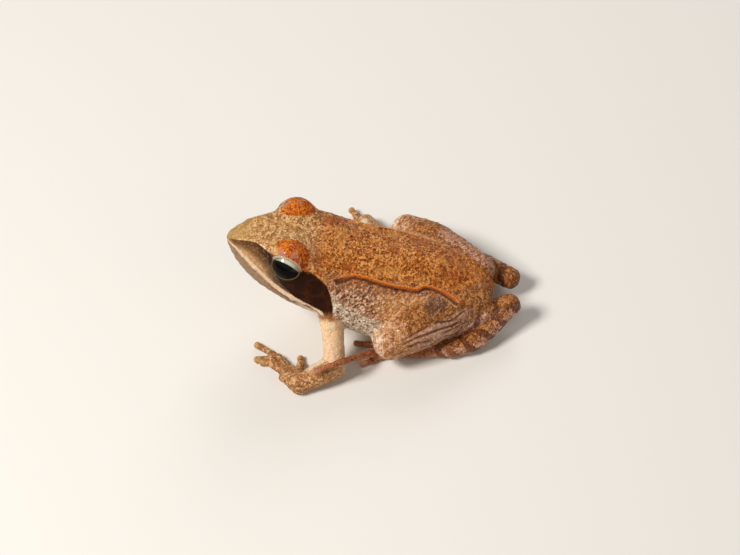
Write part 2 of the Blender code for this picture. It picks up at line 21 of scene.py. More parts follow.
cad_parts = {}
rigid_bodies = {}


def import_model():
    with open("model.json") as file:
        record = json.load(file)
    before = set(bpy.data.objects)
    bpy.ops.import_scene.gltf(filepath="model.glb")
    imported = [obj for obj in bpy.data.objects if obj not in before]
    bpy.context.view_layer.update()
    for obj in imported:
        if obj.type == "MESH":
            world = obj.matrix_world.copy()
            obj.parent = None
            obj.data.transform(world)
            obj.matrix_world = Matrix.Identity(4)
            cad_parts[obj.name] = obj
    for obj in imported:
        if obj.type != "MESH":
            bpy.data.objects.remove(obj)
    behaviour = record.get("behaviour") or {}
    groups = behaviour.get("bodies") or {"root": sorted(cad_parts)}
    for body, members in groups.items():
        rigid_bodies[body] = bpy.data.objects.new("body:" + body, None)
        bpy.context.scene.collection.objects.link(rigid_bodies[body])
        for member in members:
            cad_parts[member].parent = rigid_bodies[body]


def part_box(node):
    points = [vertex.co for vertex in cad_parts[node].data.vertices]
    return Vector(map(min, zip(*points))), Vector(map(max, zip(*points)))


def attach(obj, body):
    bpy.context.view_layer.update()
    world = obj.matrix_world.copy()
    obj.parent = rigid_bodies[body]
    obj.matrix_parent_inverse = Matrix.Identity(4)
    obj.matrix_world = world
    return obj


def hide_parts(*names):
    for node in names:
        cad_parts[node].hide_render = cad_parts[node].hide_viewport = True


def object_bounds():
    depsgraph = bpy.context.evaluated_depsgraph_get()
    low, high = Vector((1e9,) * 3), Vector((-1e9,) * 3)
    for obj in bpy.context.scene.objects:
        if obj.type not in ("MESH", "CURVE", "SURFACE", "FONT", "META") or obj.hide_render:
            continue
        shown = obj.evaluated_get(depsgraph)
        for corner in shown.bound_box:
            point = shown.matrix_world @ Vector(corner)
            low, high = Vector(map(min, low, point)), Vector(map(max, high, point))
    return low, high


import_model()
CAD_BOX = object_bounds()

Array = np.ndarray
Colour = tuple[float, float, float]
Point = tuple[float, float, float]
Reach = tuple[Array, Array]

LOG = logging.getLogger("wood_frog")
# FAR stands for a distance that no longer matters, and NEAR is how far round its box
# a form still does. LINES lines run round the body. The head is what lies before
# NECK_X and above CHIN_Z. The wrinkles lie further round the thigh than THIGH_SIDE,
# in degrees, and end over the lengths of THIGH_FRONT. LEAST and TINY keep a division
# off zero.
MM = 0.001
FAR = 9.0
NEAR = 3.0
WAVES = 24
LINES = 8
TANGENT_STEP = 0.02
END_STEPS = (0.35, 0.72)
NECK_X = -4.0
CHIN_Z = 8.5
THIGH_SIDE = 46.0
THIGH_FRONT = (15.6, 13.6)
LEAST = 1e-3
TINY = 1e-9
UP = np.array([0.0, 0.0, 1.0])


class Side(Enum):
    """The frog's left and right, as the sign of Y."""

    LEFT = -1
    RIGHT = 1

    @property
    def word(self) -> str:
        """The side's name in lower case."""
        return self.name.lower()

    def put(self, point: Point | Array) -> Array:
        """A point given for the right side, put on this side."""
        return np.asarray(point, float) * np.array([1.0, self.value, 1.0])


def unit(vector: Array | Point) -> Array:
    """The vector, or each row of vectors, at length one."""
    vector = np.asarray(vector, float)
    return vector / np.linalg.norm(vector, axis=-1, keepdims=True)


def ease(low: float, high: float, value: Array) -> Array:
    """Smooth step from 0 at low to 1 at high, by the formula 3t^2 - 2t^3."""
    t = np.clip((value - low) / (high - low), 0.0, 1.0)
    return t * t * (3.0 - 2.0 * t)


def bell(value: Array, width: float) -> Array:
    """1 at zero, falling off both ways with the square of the value over the width."""
    return np.exp(-((value / width) ** 2))


def straight(start: Array, end: Array) -> list[Array]:
    """Four points evenly along a straight line."""
    return [start + (end - start) * k / 3 for k in range(4)]


def curve(knots: Array, where: Array) -> Array:
    """Catmull-Rom curve through knots.

    Args:
        knots: The points, one a row, or single values.
        where: Positions along the knots, counted from 0.

    Returns:
        The curve's point at each position: a cubic through the two knots on each
        side, with the slope at a knot half the step between its neighbours.
    """
    knots = np.asarray(knots, float)
    last = len(knots) - 1
    padded = np.concatenate([[2 * knots[0] - knots[1]], knots, [2 * knots[last] - knots[last - 1]]])
    where = np.clip(np.asarray(where, float), 0, last)
    cell = np.minimum(where.astype(int), last - 1)
    t = (where - cell).reshape((-1,) + (1,) * (knots.ndim - 1))
    a, b, c, d = (padded[cell + k] for k in range(4))
    square = (2 * a - 5 * b + 4 * c - d) * t**2
    cube = (3 * b - a - 3 * c + d) * t**3
    return 0.5 * (2 * b + (c - a) * t + square + cube)


def closed_rings(grid: Array, start: Array, end: Array) -> tuple[Array, list]:
    """Vertices and faces of rings joined in order and closed by two end points.

    Args:
        grid: Points as rings by sides.
        start: The point that closes the first ring.
        end: The point that closes the last ring.

    Returns:
        The vertices, and the faces as tuples of indices.
    """
    rings, sides = grid.shape[:2]
    verts = np.concatenate([[start], grid.reshape(-1, 3), [end]])
    ring = np.arange(sides)
    ahead = (ring + 1) % sides
    first = 1 + ring
    base = 1 + np.arange(rings - 1)[:, None] * sides
    quads = np.stack([base + ring, base + ahead, base + ahead + sides, base + ring + sides], -1)
    tail = 1 + (rings - 1) * sides
    fan = np.stack([np.zeros(sides, int), 1 + ahead, first], -1)
    cap = np.stack([tail + ring, tail + ahead, np.full(sides, len(verts) - 1)], -1)
    return verts, fan.tolist() + quads.reshape(-1, 4).tolist() + cap.tolist()


def slope(height, points: Array, step: float = TANGENT_STEP) -> Reach:
    """Distance to the surface where a function is zero, and the way out of it.

    Args:
        height: A function of points that is zero on the surface and grows outwards.
        points: The points, one a row.
        step: The step of the differences that give its gradient.

    Returns:
        The function over the length of its gradient, and that gradient at length one.
    """
    here = height(points)
    gradient = np.stack([(height(points + step * axis) - here) / step for axis in np.eye(3)], 1)
    steep = np.linalg.norm(gradient, axis=1)
    return here / steep, gradient / steep[:, None]


def melt(first: Reach, second: Reach, reach: float) -> Reach:
    """Smooth union of two fields of distance.

    Where the two distances differ by less than the reach, the lower one is reduced
    by a quarter of the reach times the square of what is left of it, which fills the
    crease between the forms with a fillet.
    """
    left = np.clip(reach - np.abs(first[0] - second[0]), 0, None) / reach
    share = np.where(first[0] < second[0], 1 - left / 2, left / 2)[:, None]
    distance = np.minimum(first[0], second[0]) - left**2 * reach / 4
    return distance, share * first[1] + (1 - share) * second[1]


def ripple(points: Array, width: float, seed: int) -> Array:
    """Uneven waves in space that have no direction.

    Args:
        points: Where they are read, one a row.
        width: The length of a wave in millimetres.
        seed: Picks one of the patterns.

    Returns:
        The sum of cosines of equal length that run in WAVES drawn directions from
        drawn starts, over the root of half their number, so that most of it lies
        between -1 and 1.
    """
    draw = np.random.default_rng(seed)
    ways = unit(draw.normal(size=(WAVES, 3))) * 2 * math.pi / width
    starts = draw.uniform(0, 2 * math.pi, WAVES)
    total = sum(np.cos(points @ way + start) for way, start in zip(ways, starts))
    return total / math.sqrt(WAVES / 2)


def line_distance(points: Array, line: Array, closed: bool = False) -> Array:
    """Distance of flat points from a line of straight stretches.

    Returns:
        The distance. For a closed line it is above zero inside and below it outside.
    """
    ends = np.roll(line, -1, 0) if closed else line[1:]
    starts = line if closed else line[:-1]
    best = np.full(len(points), np.inf)
    inside = np.zeros(len(points), bool)
    for a, b in zip(starts, ends):
        along = b - a
        t = np.clip((points - a) @ along / (along @ along), 0, 1)
        best = np.minimum(best, np.linalg.norm(points - a - t[:, None] * along, axis=1))
        crosses = (a[1] > points[:, 1]) != (b[1] > points[:, 1])
        rise = along[1] if along[1] else 1.0
        inside ^= crosses & (points[:, 0] < a[0] + (points[:, 1] - a[1]) * along[0] / rise)
    if closed:
        return np.where(inside, best, -best)
    return best


class Group(Enum):
    """What a form belongs to, for its markings."""

    BODY = "body"
    ARM = "arm"
    LEG = "leg"


@dataclass
class Form:
    """A closed form of flesh that the skin is drawn over."""

    melts: float = 0.3
    group: Group = Group.BODY
    begins: float = 0.0
    is_digit: bool = False

    def shell(self) -> tuple[Array, list]:
        """Vertices and faces of the form alone."""
        raise NotImplementedError

    def distance(self, points: Array) -> Reach:
        """Distance of each point from the surface, and the way out of it."""
        raise NotImplementedError

    def near(self, points: Array) -> Array:
        """Which points are close enough to matter."""
        verts = self.shell()[0]
        low, high = verts.min(0) - NEAR, verts.max(0) + NEAR
        return np.all((points > low) & (points < high), axis=1)


@dataclass
class Tube(Form):
    """A tapered tube with an oval section and rounded ends.

    The middle follows a Catmull-Rom curve. At each step the section is an ellipse of
    half the width across and half the height up, and each end is half an ellipsoid.
    """

    path: Array = None
    widths: tuple = ()
    heights: tuple = ()
    steps: int = 25
    sides: int = 24
    end_reach: float = 0.8

    def __post_init__(self) -> None:
        """Works out the middle, its frame and the half sizes at each step."""
        self.path = np.asarray(self.path, float)
        last = len(self.path) - 1
        t = np.linspace(0, last, self.steps)
        self.middle = curve(self.path, t)
        after = curve(self.path, np.minimum(t + TANGENT_STEP, last))
        before = curve(self.path, np.maximum(t - TANGENT_STEP, 0))
        self.ahead = unit(after - before)
        self.across = unit(np.cross(self.ahead, UP))
        self.rise = np.cross(self.across, self.ahead)
        self.wide = curve(self.widths, t)
        self.high = curve(self.heights, t)
        lengths = np.linalg.norm(np.diff(self.middle, axis=0), axis=1)
        self.run = np.concatenate([[0], np.cumsum(lengths)])

    def shell(self) -> tuple[Array, list]:
        """Rings round the middle, with two smaller rings at each rounded end."""
        turn = np.arange(self.sides) * 2 * math.pi / self.sides
        ring = (
            np.cos(turn)[None, :, None] * (self.across * self.wide[:, None])[:, None]
            + np.sin(turn)[None, :, None] * (self.rise * self.high[:, None])[:, None]
        )
        tip = self.end_reach * (self.wide + self.high) / 2
        lean = np.array(END_STEPS) * math.pi / 2
        small, out = np.sin(lean), np.cos(lean)
        head = self.middle[0] - self.ahead[0] * tip[0] * out[:, None]
        tail = self.middle[-1] + self.ahead[-1] * tip[-1] * out[::-1, None]
        grid = np.concatenate(
            [
                head[:, None] + ring[0] * small[:, None, None],
                self.middle[:, None] + ring,
                tail[:, None] + ring[-1] * small[::-1, None, None],
            ]
        )
        start = self.middle[0] - self.ahead[0] * tip[0]
        return closed_rings(grid, start, self.middle[-1] + self.ahead[-1] * tip[-1])

    def nearest(self, points: Array) -> Array:
        """Position along the steps of the nearest point of the middle."""
        best = np.full(len(points), np.inf)
        place = np.zeros(len(points))
        for k in range(self.steps - 1):
            along = self.middle[k + 1] - self.middle[k]
            t = np.clip((points - self.middle[k]) @ along / (along @ along), 0, 1)
            gap = ((points - self.middle[k] - t[:, None] * along) ** 2).sum(1)
            closer = gap < best
            best = np.where(closer, gap, best)
            place = np.where(closer, k + t, place)
        return place

    def at(self, values: Array, place: Array) -> Array:
        """Values of the steps read between two steps."""
        cell = np.minimum(place.astype(int), self.steps - 2)
        t = place - cell
        t = t[:, None] if values.ndim == 2 else t
        return values[cell] * (1 - t) + values[cell + 1] * t

    def distance(self, points: Array) -> Reach:
        """Distance from the ellipsoid that touches the tube at the nearest step."""
        place = self.nearest(points)
        offset = points - self.at(self.middle, place)
        frame_rows = [self.at(rows, place) for rows in (self.ahead, self.across, self.rise)]
        wide, high = self.at(self.wide, place), self.at(self.high, place)
        sizes = [self.end_reach * (wide + high) / 2, wide, high]
        parts = [(offset * rows).sum(1) for rows in frame_rows]
        scaled = np.sqrt(sum((part / size) ** 2 for part, size in zip(parts, sizes)))
        scaled = np.maximum(scaled, LEAST)
        pulls = [part / size**2 for part, size in zip(parts, sizes)]
        way = unit(sum(pull[:, None] * rows for pull, rows in zip(pulls, frame_rows)))
        return (1 - 1 / scaled) * (offset * way).sum(1), way

    def along(self, points: Array) -> Array:
        """Length along the tube from its start, plus where it begins on its limb."""
        return self.begins + self.at(self.run, self.nearest(points))

    def turn(self, points: Array) -> Array:
        """Angle round the tube in degrees: 0 on top, 90 outwards and 180 below."""
        place = self.nearest(points)
        offset = points - self.at(self.middle, place)
        outwards = np.sign(self.across[0, 1] * self.middle[0, 1])
        out = (offset * self.at(self.across, place)).sum(1) * outwards
        up = (offset * self.at(self.rise, place)).sum(1)
        return np.degrees(np.arctan2(out, up))


@dataclass
class Ball(Form):
    """An ellipsoid with level axes."""

    centre: Array = None
    radii: Point = (1.0, 1.0, 1.0)
    rings: int = 20
    sides: int = 32

    def shell(self) -> tuple[Array, list]:
        """Rings of latitude, scaled by the radii."""
        tilt = np.linspace(0, math.pi, self.rings + 2)[1:-1, None]
        turn = np.arange(self.sides)[None] * 2 * math.pi / self.sides
        level = np.sin(tilt)
        grid = np.stack([level * np.cos(turn), level * np.sin(turn), np.cos(tilt) + 0 * turn], -1)
        verts, faces = closed_rings(grid, UP, -UP)
        return verts * self.radii + self.centre, faces

    def distance(self, points: Array) -> Reach:
        """Offset from the centre less its part inside the ellipsoid, along the normal."""
        offset = points - self.centre
        scaled = np.maximum(np.linalg.norm(offset / self.radii, axis=1), LEAST)
        way = unit(offset / np.square(self.radii) + TINY)
        return (1 - 1 / scaled) * (offset * way).sum(1), way


@dataclass
class Web(Form):
    """A flat web of skin with a rounded edge, between two toes."""

    corners: Array = None
    height: float = 0.6
    half: float = 0.25

    def shell(self) -> tuple[Array, list]:
        """The outline at two heights, joined."""
        low, high = self.corners.copy(), self.corners.copy()
        low[:, 2], high[:, 2] = self.height - self.half, self.height + self.half
        faces = [(0, 1, 2), (0, 2, 3), (4, 6, 5), (4, 7, 6)]
        faces += [(k, 4 + k, 4 + (k + 1) % 4, (k + 1) % 4) for k in range(4)]
        return np.concatenate([low, high]), faces

    def distance(self, points: Array) -> Reach:
        """Distance from the outline drawn in by half the thickness, less that half."""

        def height(at: Array) -> Array:
            inside = line_distance(at[:, :2], self.corners[:, :2], closed=True)
            return np.hypot(np.maximum(self.half - inside, 0), at[:, 2] - self.height) - self.half

        return slope(height, points)


@dataclass
class Trunk(Form):
    """Head and torso as one form, lofted through lines from snout to vent.

    A point of it is a function of its place along the stations and of the line
    round the body: 0 is the back, 1 the fold, 2 the flank, 3 the low line and 4 the
    belly. For distances, the surface is kept as its radius from a bent axis, read by
    the place along the axis and the angle round it. Past the ends of the axis the
    place goes on as the lean from the axis.
    """

    stations: tuple = (-22.2, -20.9, -17.6, -12.5, -7.5, -2.0, 4.0, 10.0, 15.0, 18.8, 20.3)
    back: tuple = (17.7, 19.1, 19.8, 19.6, 18.6, 16.5, 14.5, 12.7, 10.4, 7.8, 5.2)
    fold: tuple = (
        (0.0, 1.3, 2.75, 4.8, 5.7, 5.5, 5.05, 4.5, 4.0, 2.6, 0.0),
        (17.7, 18.8, 19.3, 18.6, 17.5, 15.1, 13.15, 11.25, 9.1, 6.9, 5.2),
    )
    flank: tuple = (
        (0.0, 2.6, 5.2, 7.8, 9.2, 9.9, 10.4, 9.2, 6.6, 3.2, 0.0),
        (17.7, 16.7, 15.1, 13.0, 11.4, 9.0, 7.0, 6.2, 5.6, 5.2, 5.2),
    )
    low: tuple = (
        (0.0, 2.3, 4.8, 6.5, 7.0, 8.0, 8.8, 7.6, 5.0, 2.4, 0.0),
        (17.7, 15.4, 12.8, 10.1, 7.2, 4.2, 2.6, 2.2, 2.8, 3.9, 5.2),
    )
    belly: tuple = (17.7, 15.0, 11.9, 8.7, 5.8, 2.9, 1.3, 1.1, 1.8, 3.4, 5.2)
    axis_ends: tuple = (-20.0, 18.0)
    cap: float = 2.2
    even_rows: float = 0.86
    bunched_rows: float = 0.07
    rows: int = 240
    columns: int = 128
    places: int = 400
    turns: int = 256

    def __post_init__(self) -> None:
        """Charts the loft by place and angle."""
        self.grid = self._loft(self.rows, self.columns)
        middle = (np.array(self.back) + np.array(self.belly)) / 2
        snout, vent = self.axis_ends
        self.axis_x = np.array([snout, *self.stations[2:9], vent])
        self.axis_z = np.array([self.back[0], *middle[2:9], self.back[-1]])
        line = np.arange(self.columns) * LINES / self.columns
        line = np.minimum(line, LINES - line)
        turn_grid = (np.arange(self.turns) + 0.5) * 2 * math.pi / self.turns
        rows = []
        for ring in self.grid:
            place, turn, radius = self._polar(ring)
            values = (place, radius, line)
            rows.append([np.interp(turn_grid, turn, value, period=2 * math.pi) for value in values])
        place, radius, lines = np.array(rows).transpose(1, 0, 2)
        half_turn = self.cap * math.pi / 2
        ends = (snout - half_turn, vent + half_turn)
        pole = np.ones((1, self.turns))
        place = np.concatenate([ends[0] * pole, place, ends[1] * pole])
        poles = (snout - self.stations[0], self.stations[-1] - vent)
        radius = np.concatenate([poles[0] * pole, radius, poles[1] * pole])
        lines = np.concatenate([lines[:1], lines, lines[-1:]])
        self.place_grid = np.linspace(*ends, self.places)
        self.radius_chart, self.line_chart = (
            np.stack([np.interp(self.place_grid, *pair) for pair in zip(place.T, chart.T)], 1)
            for chart in (radius, lines)
        )

    def _loft(self, rows: int, columns: int) -> Array:
        """Points of the loft as rows by columns, without the two poles."""
        x = np.array(self.stations)
        zero = np.zeros(len(x))
        half = [(zero, self.back), self.fold, self.flank, self.low, (zero, self.belly)]
        half = [(np.array(y), np.array(z)) for y, z in half]
        half += [(-y, z) for y, z in half[3:0:-1]]
        lines = np.stack([np.stack([x, y, z], 1) for y, z in half])
        last = len(x) - 1
        opposite = np.roll(lines, LINES // 2, 0)
        through = np.concatenate([opposite[:, 1:2], lines, opposite[:, last - 1 : last]], 1)
        u = np.linspace(0, 1, rows + 2)[1:-1]
        u = last * (self.even_rows * u + self.bunched_rows * (1 - np.cos(math.pi * u)))
        along = np.stack([curve(line, u + 1) for line in through])
        wrapped = np.concatenate([along[-1:], along, along[:2]])
        v = np.arange(columns) * LINES / columns
        return np.stack([curve(wrapped[:, k], v + 1) for k in range(rows)])

    def _polar(self, points: Array) -> tuple[Array, Array, Array]:
        """Place along the axis, angle round it and distance from it."""
        x, y, z = points.T
        inner = np.clip(x, *self.axis_ends)
        up = z - np.interp(inner, self.axis_x, self.axis_z)
        out = x - inner
        level = np.hypot(y, up)
        lean = math.pi / 2 - np.arctan2(level, np.abs(out))
        return inner + np.sign(out) * self.cap * lean, np.arctan2(up, y), np.hypot(level, out)

    def _read(self, chart: Array, place: Array, turn: Array) -> Array:
        """A chart read between its four nearest entries."""
        i = (place - self.place_grid[0]) / (self.place_grid[1] - self.place_grid[0])
        i = np.clip(i, 0, self.places - 1 - LEAST)
        j = (turn % (2 * math.pi)) * self.turns / (2 * math.pi) - 0.5
        row, column = i.astype(int), np.floor(j).astype(int)
        s, t = i - row, j - column
        left, right = column % self.turns, (column + 1) % self.turns
        low = chart[row, left] * (1 - t) + chart[row, right] * t
        high = chart[row + 1, left] * (1 - t) + chart[row + 1, right] * t
        return low * (1 - s) + high * s

    def shell(self) -> tuple[Array, list]:
        """The loft closed by the tip of the snout and the vent."""
        snout = np.array([self.stations[0], 0, self.back[0]])
        vent = np.array([self.stations[-1], 0, self.back[-1]])
        return closed_rings(self.grid[::2], snout, vent)

    def distance(self, points: Array) -> Reach:
        """Distance from the axis less the charted radius, over its slope."""

        def height(at: Array) -> Array:
            place, turn, radius = self._polar(at)
            return radius - self._read(self.radius_chart, place, turn)

        return slope(height, points)

    def line_at(self, points: Array) -> Array:
        """The line round the body on which each point lies, 0 to 4."""
        place, turn, _ = self._polar(points)
        return self._read(self.line_chart, place, turn)

    def on(self, x: float, line: float, side: Side) -> tuple[Array, Array]:
        """A point of the loft at x on a line, and the way out of it.

        Args:
            x: The place along the body.
            line: The line, counted from the back.
            side: The side of the body.

        Returns:
            The point and its outward normal.
        """
        row = np.argmin(np.abs(self.grid[:, 0, 0] - x))
        column = line * self.columns / LINES
        column = column if side is Side.RIGHT else self.columns - column
        low = int(column)
        share = column - low
        ring = self.grid[row]
        point = ring[low % self.columns] * (1 - share) + ring[(low + 1) % self.columns] * share
        return point, self.distance(point[None])[1][0]


@dataclass
class Head:
    """Eyelids, lips, nostrils, ear drums and ridges of the head."""

    trunk: Trunk
    eye_centre: Point = (-11.6, 5.1, 17.45)
    eye_look: Point = (-0.15, 0.88, 0.34)
    lid_radii: Point = (3.6, 3.55, 3.5)
    opening: tuple[float, float] = (2.68, 2.08)
    opening_turn: float = 19.0
    lid_edge: float = 3.02
    lid_floor: float = 2.45
    lip_line: tuple = ((-20.6, 2.28), (-18.6, 2.14), (-15.0, 2.07), (-11.0, 2.05), (-7.9, 2.04))
    ridge_line: tuple = ((-19.8, 0.95), (-18.3, 0.9), (-16.6, 0.87), (-15.3, 1.0), (-14.4, 1.12))
    fold_line: tuple = (
        (-4.0, 1.22),
        (-2.75, 1.1),
        (-1.5, 1.0),
        (0.5, 1.0),
        (2.75, 1.06),
        (5.5, 1.1),
        (8.6, 1.12),
        (9.6, 1.02),
        (11.2, 1.02),
        (13.8, 1.12),
        (15.6, 1.24),
    )
    mouth_x: tuple = (-20.9, -17.6, -12.5, -7.5, -6.6)
    mouth_z: tuple = (16.0, 14.3, 12.2, 10.7, 10.3)
    nostril: tuple[float, float] = (-18.8, 1.15)
    drum: tuple[float, float] = (-7.3, 1.5)
    drum_radius: float = 1.5
    lid_melts: float = 1.7
    lip_size: Point = (0.5, -0.12, 0.5)
    ridge_size: Point = (0.42, -0.12, 0.7)
    fold_size: Point = (0.42, 0.05, 0.4)
    ridge_end: float = 0.25
    ridge_pole: float = 0.01
    mouth_groove: tuple[float, float] = (0.3, 0.16)
    nostril_pit: tuple[float, float] = (0.42, 0.24)
    nostril_rim: Point = (0.12, 0.46, 0.16)
    drum_rim: tuple[float, float] = (0.12, 0.22)
    drum_dish: tuple[float, float] = (0.08, 0.4)
    lid_thins: tuple[float, float] = (1.75, 1.1)
    lid_rim: Point = (0.05, 1.14, 0.07)
    lid_inside: tuple[float, float] = (1.05, 0.96)
    lid_reach: float = 6.0

    def _ridge(self, line: tuple, side: Side, radius: float, rise: float, melts: float) -> Tube:
        """A raised line on the trunk.

        Args:
            line: Its points, as x and the line round the body.
            side: The side of the body.
            radius: Half its thickness in the middle.
            rise: How far its middle stands out of the trunk.
            melts: How far it melts into what it lies on.

        Returns:
            A tube whose radius falls at both ends with the root of a sine.
        """
        places = curve(np.array(line), np.linspace(0, len(line) - 1, 2 * len(line) + 1))
        points = [self.trunk.on(x, at, side) for x, at in places]
        share = np.linspace(0, 1, len(points))
        share = np.clip(share, self.ridge_pole, 1 - self.ridge_pole)
        bow = np.sin(np.pi * share) ** 0.5
        rises = rise + radius * (bow - 1)
        path = np.array([point + way * out for (point, way), out in zip(points, rises)])
        radii = radius * (self.ridge_end + (1 - self.ridge_end) * bow)
        return Tube(melts, path=path, widths=radii, heights=radii, steps=40, sides=12)

    def forms(self) -> list[Form]:
        """The forms that the head and the folds add to the trunk."""
        forms: list[Form] = []
        ridges = (
            (self.lip_line, self.lip_size),
            (self.ridge_line, self.ridge_size),
            (self.fold_line, self.fold_size),
        )
        for side in Side:
            centre = side.put(self.eye_centre)
            forms.append(Ball(self.lid_melts, centre=centre, radii=self.lid_radii))
            forms += [self._ridge(line, side, *size) for line, size in ridges]
        return forms

    def eye_frame(self, side: Side) -> tuple[Array, Array, Array, Array]:
        """Centre of the eye, the way it looks, and the long and short ways of its opening."""
        look = unit(side.put(self.eye_look))
        level = unit(np.cross(look, UP)) * -side.value
        rise = np.cross(look, level) * -side.value
        rise = rise * np.sign(rise[2])
        turn = math.radians(self.opening_turn)
        long = level * math.cos(turn) + rise * math.sin(turn)
        short = rise * math.cos(turn) - level * math.sin(turn)
        return side.put(self.eye_centre), look, long, short

    def opening_at(self, points: Array, side: Side) -> tuple[Array, Array]:
        """Share of the way from the middle of the opening to its edge, and the height in it."""
        centre, look, long, short = self.eye_frame(side)
        offset = points - centre
        share = np.hypot(offset @ long / self.opening[0], offset @ short / self.opening[1])
        return np.where(offset @ look > 0, share, FAR), offset @ short

    def mouth_gap(self, points: Array) -> Array:
        """Height over the line of the mouth, or FAR behind its corner."""
        height = points[:, 2] - np.interp(points[:, 0], self.mouth_x, self.mouth_z)
        past = np.maximum(points[:, 0] - self.mouth_x[-1], 0)
        return np.hypot(height, 2 * past) * np.sign(height + TINY)

    def carve(self, points: Array, way: Array) -> Array:
        """Opens the eyes, the line of the mouth and the nostrils, and rings the drums.

        Args:
            points: The settled skin.
            way: Its outward normals.

        Returns:
            The moved points. The lid thins towards its edge and drops to a floor
            behind the eyeball. The mouth is a groove with a bell-shaped section. A
            nostril is a pit with a raised rim, and a drum a shallow dish in a rim.
        """
        moved = points.copy()
        head = points[:, 0] < NECK_X
        depth, width = self.mouth_groove
        groove = np.where(head & (points[:, 2] > CHIN_Z), bell(self.mouth_gap(points), width), 0)
        moved -= way * (depth * groove)[:, None]
        for side in Side:
            moved += way * np.where(head, self._push(points, side), 0)[:, None]
            self._open_lid(points, moved, side)
        return moved

    def _push(self, points: Array, side: Side) -> Array:
        """How far the nostril and the ear drum of one side stand out of the skin."""
        away = np.linalg.norm(points - self.trunk.on(*self.nostril, side)[0], axis=1)
        depth, width = self.nostril_pit
        height, radius, edge = self.nostril_rim
        push = height * bell(away - radius, edge) - depth * bell(away, width)
        away = np.linalg.norm(points - self.trunk.on(*self.drum, side)[0], axis=1)
        height, edge = self.drum_rim
        depth, width = self.drum_dish
        push += height * bell(away - self.drum_radius, edge)
        return push - depth * ease(self.drum_radius, self.drum_radius - width, away)

    def _open_lid(self, points: Array, moved: Array, side: Side) -> None:
        """Thins one eyelid towards its opening and drops what lies inside the opening.

        Args:
            points: The settled skin, by which the opening is found.
            moved: The same points as carved so far, which are moved on in place.
            side: The side of the eye.
        """
        centre = side.put(self.eye_centre)
        share, _ = self.opening_at(points, side)
        offset = moved - centre
        radius = np.linalg.norm(offset, axis=1)
        target = radius + (np.minimum(radius, self.lid_edge) - radius) * ease(*self.lid_thins, share)
        height, middle, width = self.lid_rim
        inside = ease(*self.lid_inside, share)
        target = (target + height * bell(share - middle, width)) * (1 - inside)
        target += self.lid_floor * inside
        close = radius < self.lid_reach
        moved[close] = (centre + offset * (target / radius)[:, None])[close]


@dataclass
class Arm:
    """Upper arm, forearm and hand of one side.

    Each bone has how far it melts into what it meets, and where it begins on the limb.
    """

    side: Side
    shoulder: Point
    elbow: Point
    wrist: Point
    root: Point = (-2.6, 4.6, 9.6)
    upper_radii: tuple = (2.3, 1.95, 1.75, 1.75)
    fore_radii: tuple = (1.85, 2.0, 1.75, 1.45)
    palm_end: Point = (-2.2, -2.4, 1.0)
    palm_size: tuple = ((1.45, 1.6), (1.3, 1.0))
    fingers: tuple = (
        ((-0.3, -2.4, 1.1), (-0.3, -4.4, 0.75), (-0.5, -6.2, 0.45)),
        ((-1.3, -2.8, 1.05), (-4.2, -6.0, 0.75), (-8.0, -8.9, 0.45)),
        ((-2.2, -2.3, 1.0), (-5.1, -5.5, 0.8), (-7.7, -5.7, 0.6)),
        ((-2.1, -1.8, 0.9), (-4.6, -4.6, 0.6), (-6.7, -5.2, 0.45)),
    )
    spread_finger: tuple = ((-0.9, 0.2, 1.1), (-1.8, 1.8, 1.15), (-2.8, 3.3, 1.0))
    finger_radii: tuple = (0.85, 0.62, 0.72, 0.5, 0.58)
    melts: Point = (1.3, 0.9, 0.9)
    begins: Point = (0.0, 14.0, 22.0)
    fingers_begin: float = 24.0
    spreads: bool = False

    @property
    def nodes(self) -> list[str]:
        """The solids that the skin stands for."""
        return [f"{part}_{self.side.word}" for part in ("upper_arm", "forearm", "hand")]

    def forms(self) -> list[Form]:
        """Tubes for each bone and each finger."""
        joints = (self.root, self.shoulder, self.elbow, self.wrist)
        root, shoulder, elbow, wrist = (self.side.put(joint) for joint in joints)
        base = np.array([wrist[0], wrist[1], 0.0])
        bones = (
            ([root, shoulder, (shoulder + elbow) / 2, elbow], self.upper_radii, self.upper_radii),
            (straight(elbow, wrist), self.fore_radii, self.fore_radii),
            ([wrist, base + self.side.put(self.palm_end)], *self.palm_size),
        )
        forms = [
            Tube(melts, Group.ARM, begins, path=path, widths=wide, heights=high)
            for melts, begins, (path, wide, high) in zip(self.melts, self.begins, bones)
        ]
        fingers = (*self.fingers[:3], self.spread_finger if self.spreads else self.fingers[3])
        for finger in fingers:
            path = [base + self.side.put(point) for point in finger]
            forms.append(digit(path, self.finger_radii, Group.ARM, self.fingers_begin))
        return forms


def digit(path: list[Array], radii: tuple, group: Group, begins: float) -> Tube:
    """A finger or toe, a little thicker at its joints and at its tip.

    Args:
        path: Its middle, from root to tip.
        radii: Half its thickness, evenly along the path.
        group: The limb that it belongs to.
        begins: Where it begins on its limb.

    Returns:
        The tube.
    """
    knots = curve(np.array(path), np.linspace(0, len(path) - 1, len(radii)))
    steps = 31 if len(path) > 3 else 17
    size = {"widths": radii, "heights": radii, "steps": steps, "sides": 14}
    return Tube(0.35, group, begins, True, path=knots, **size)


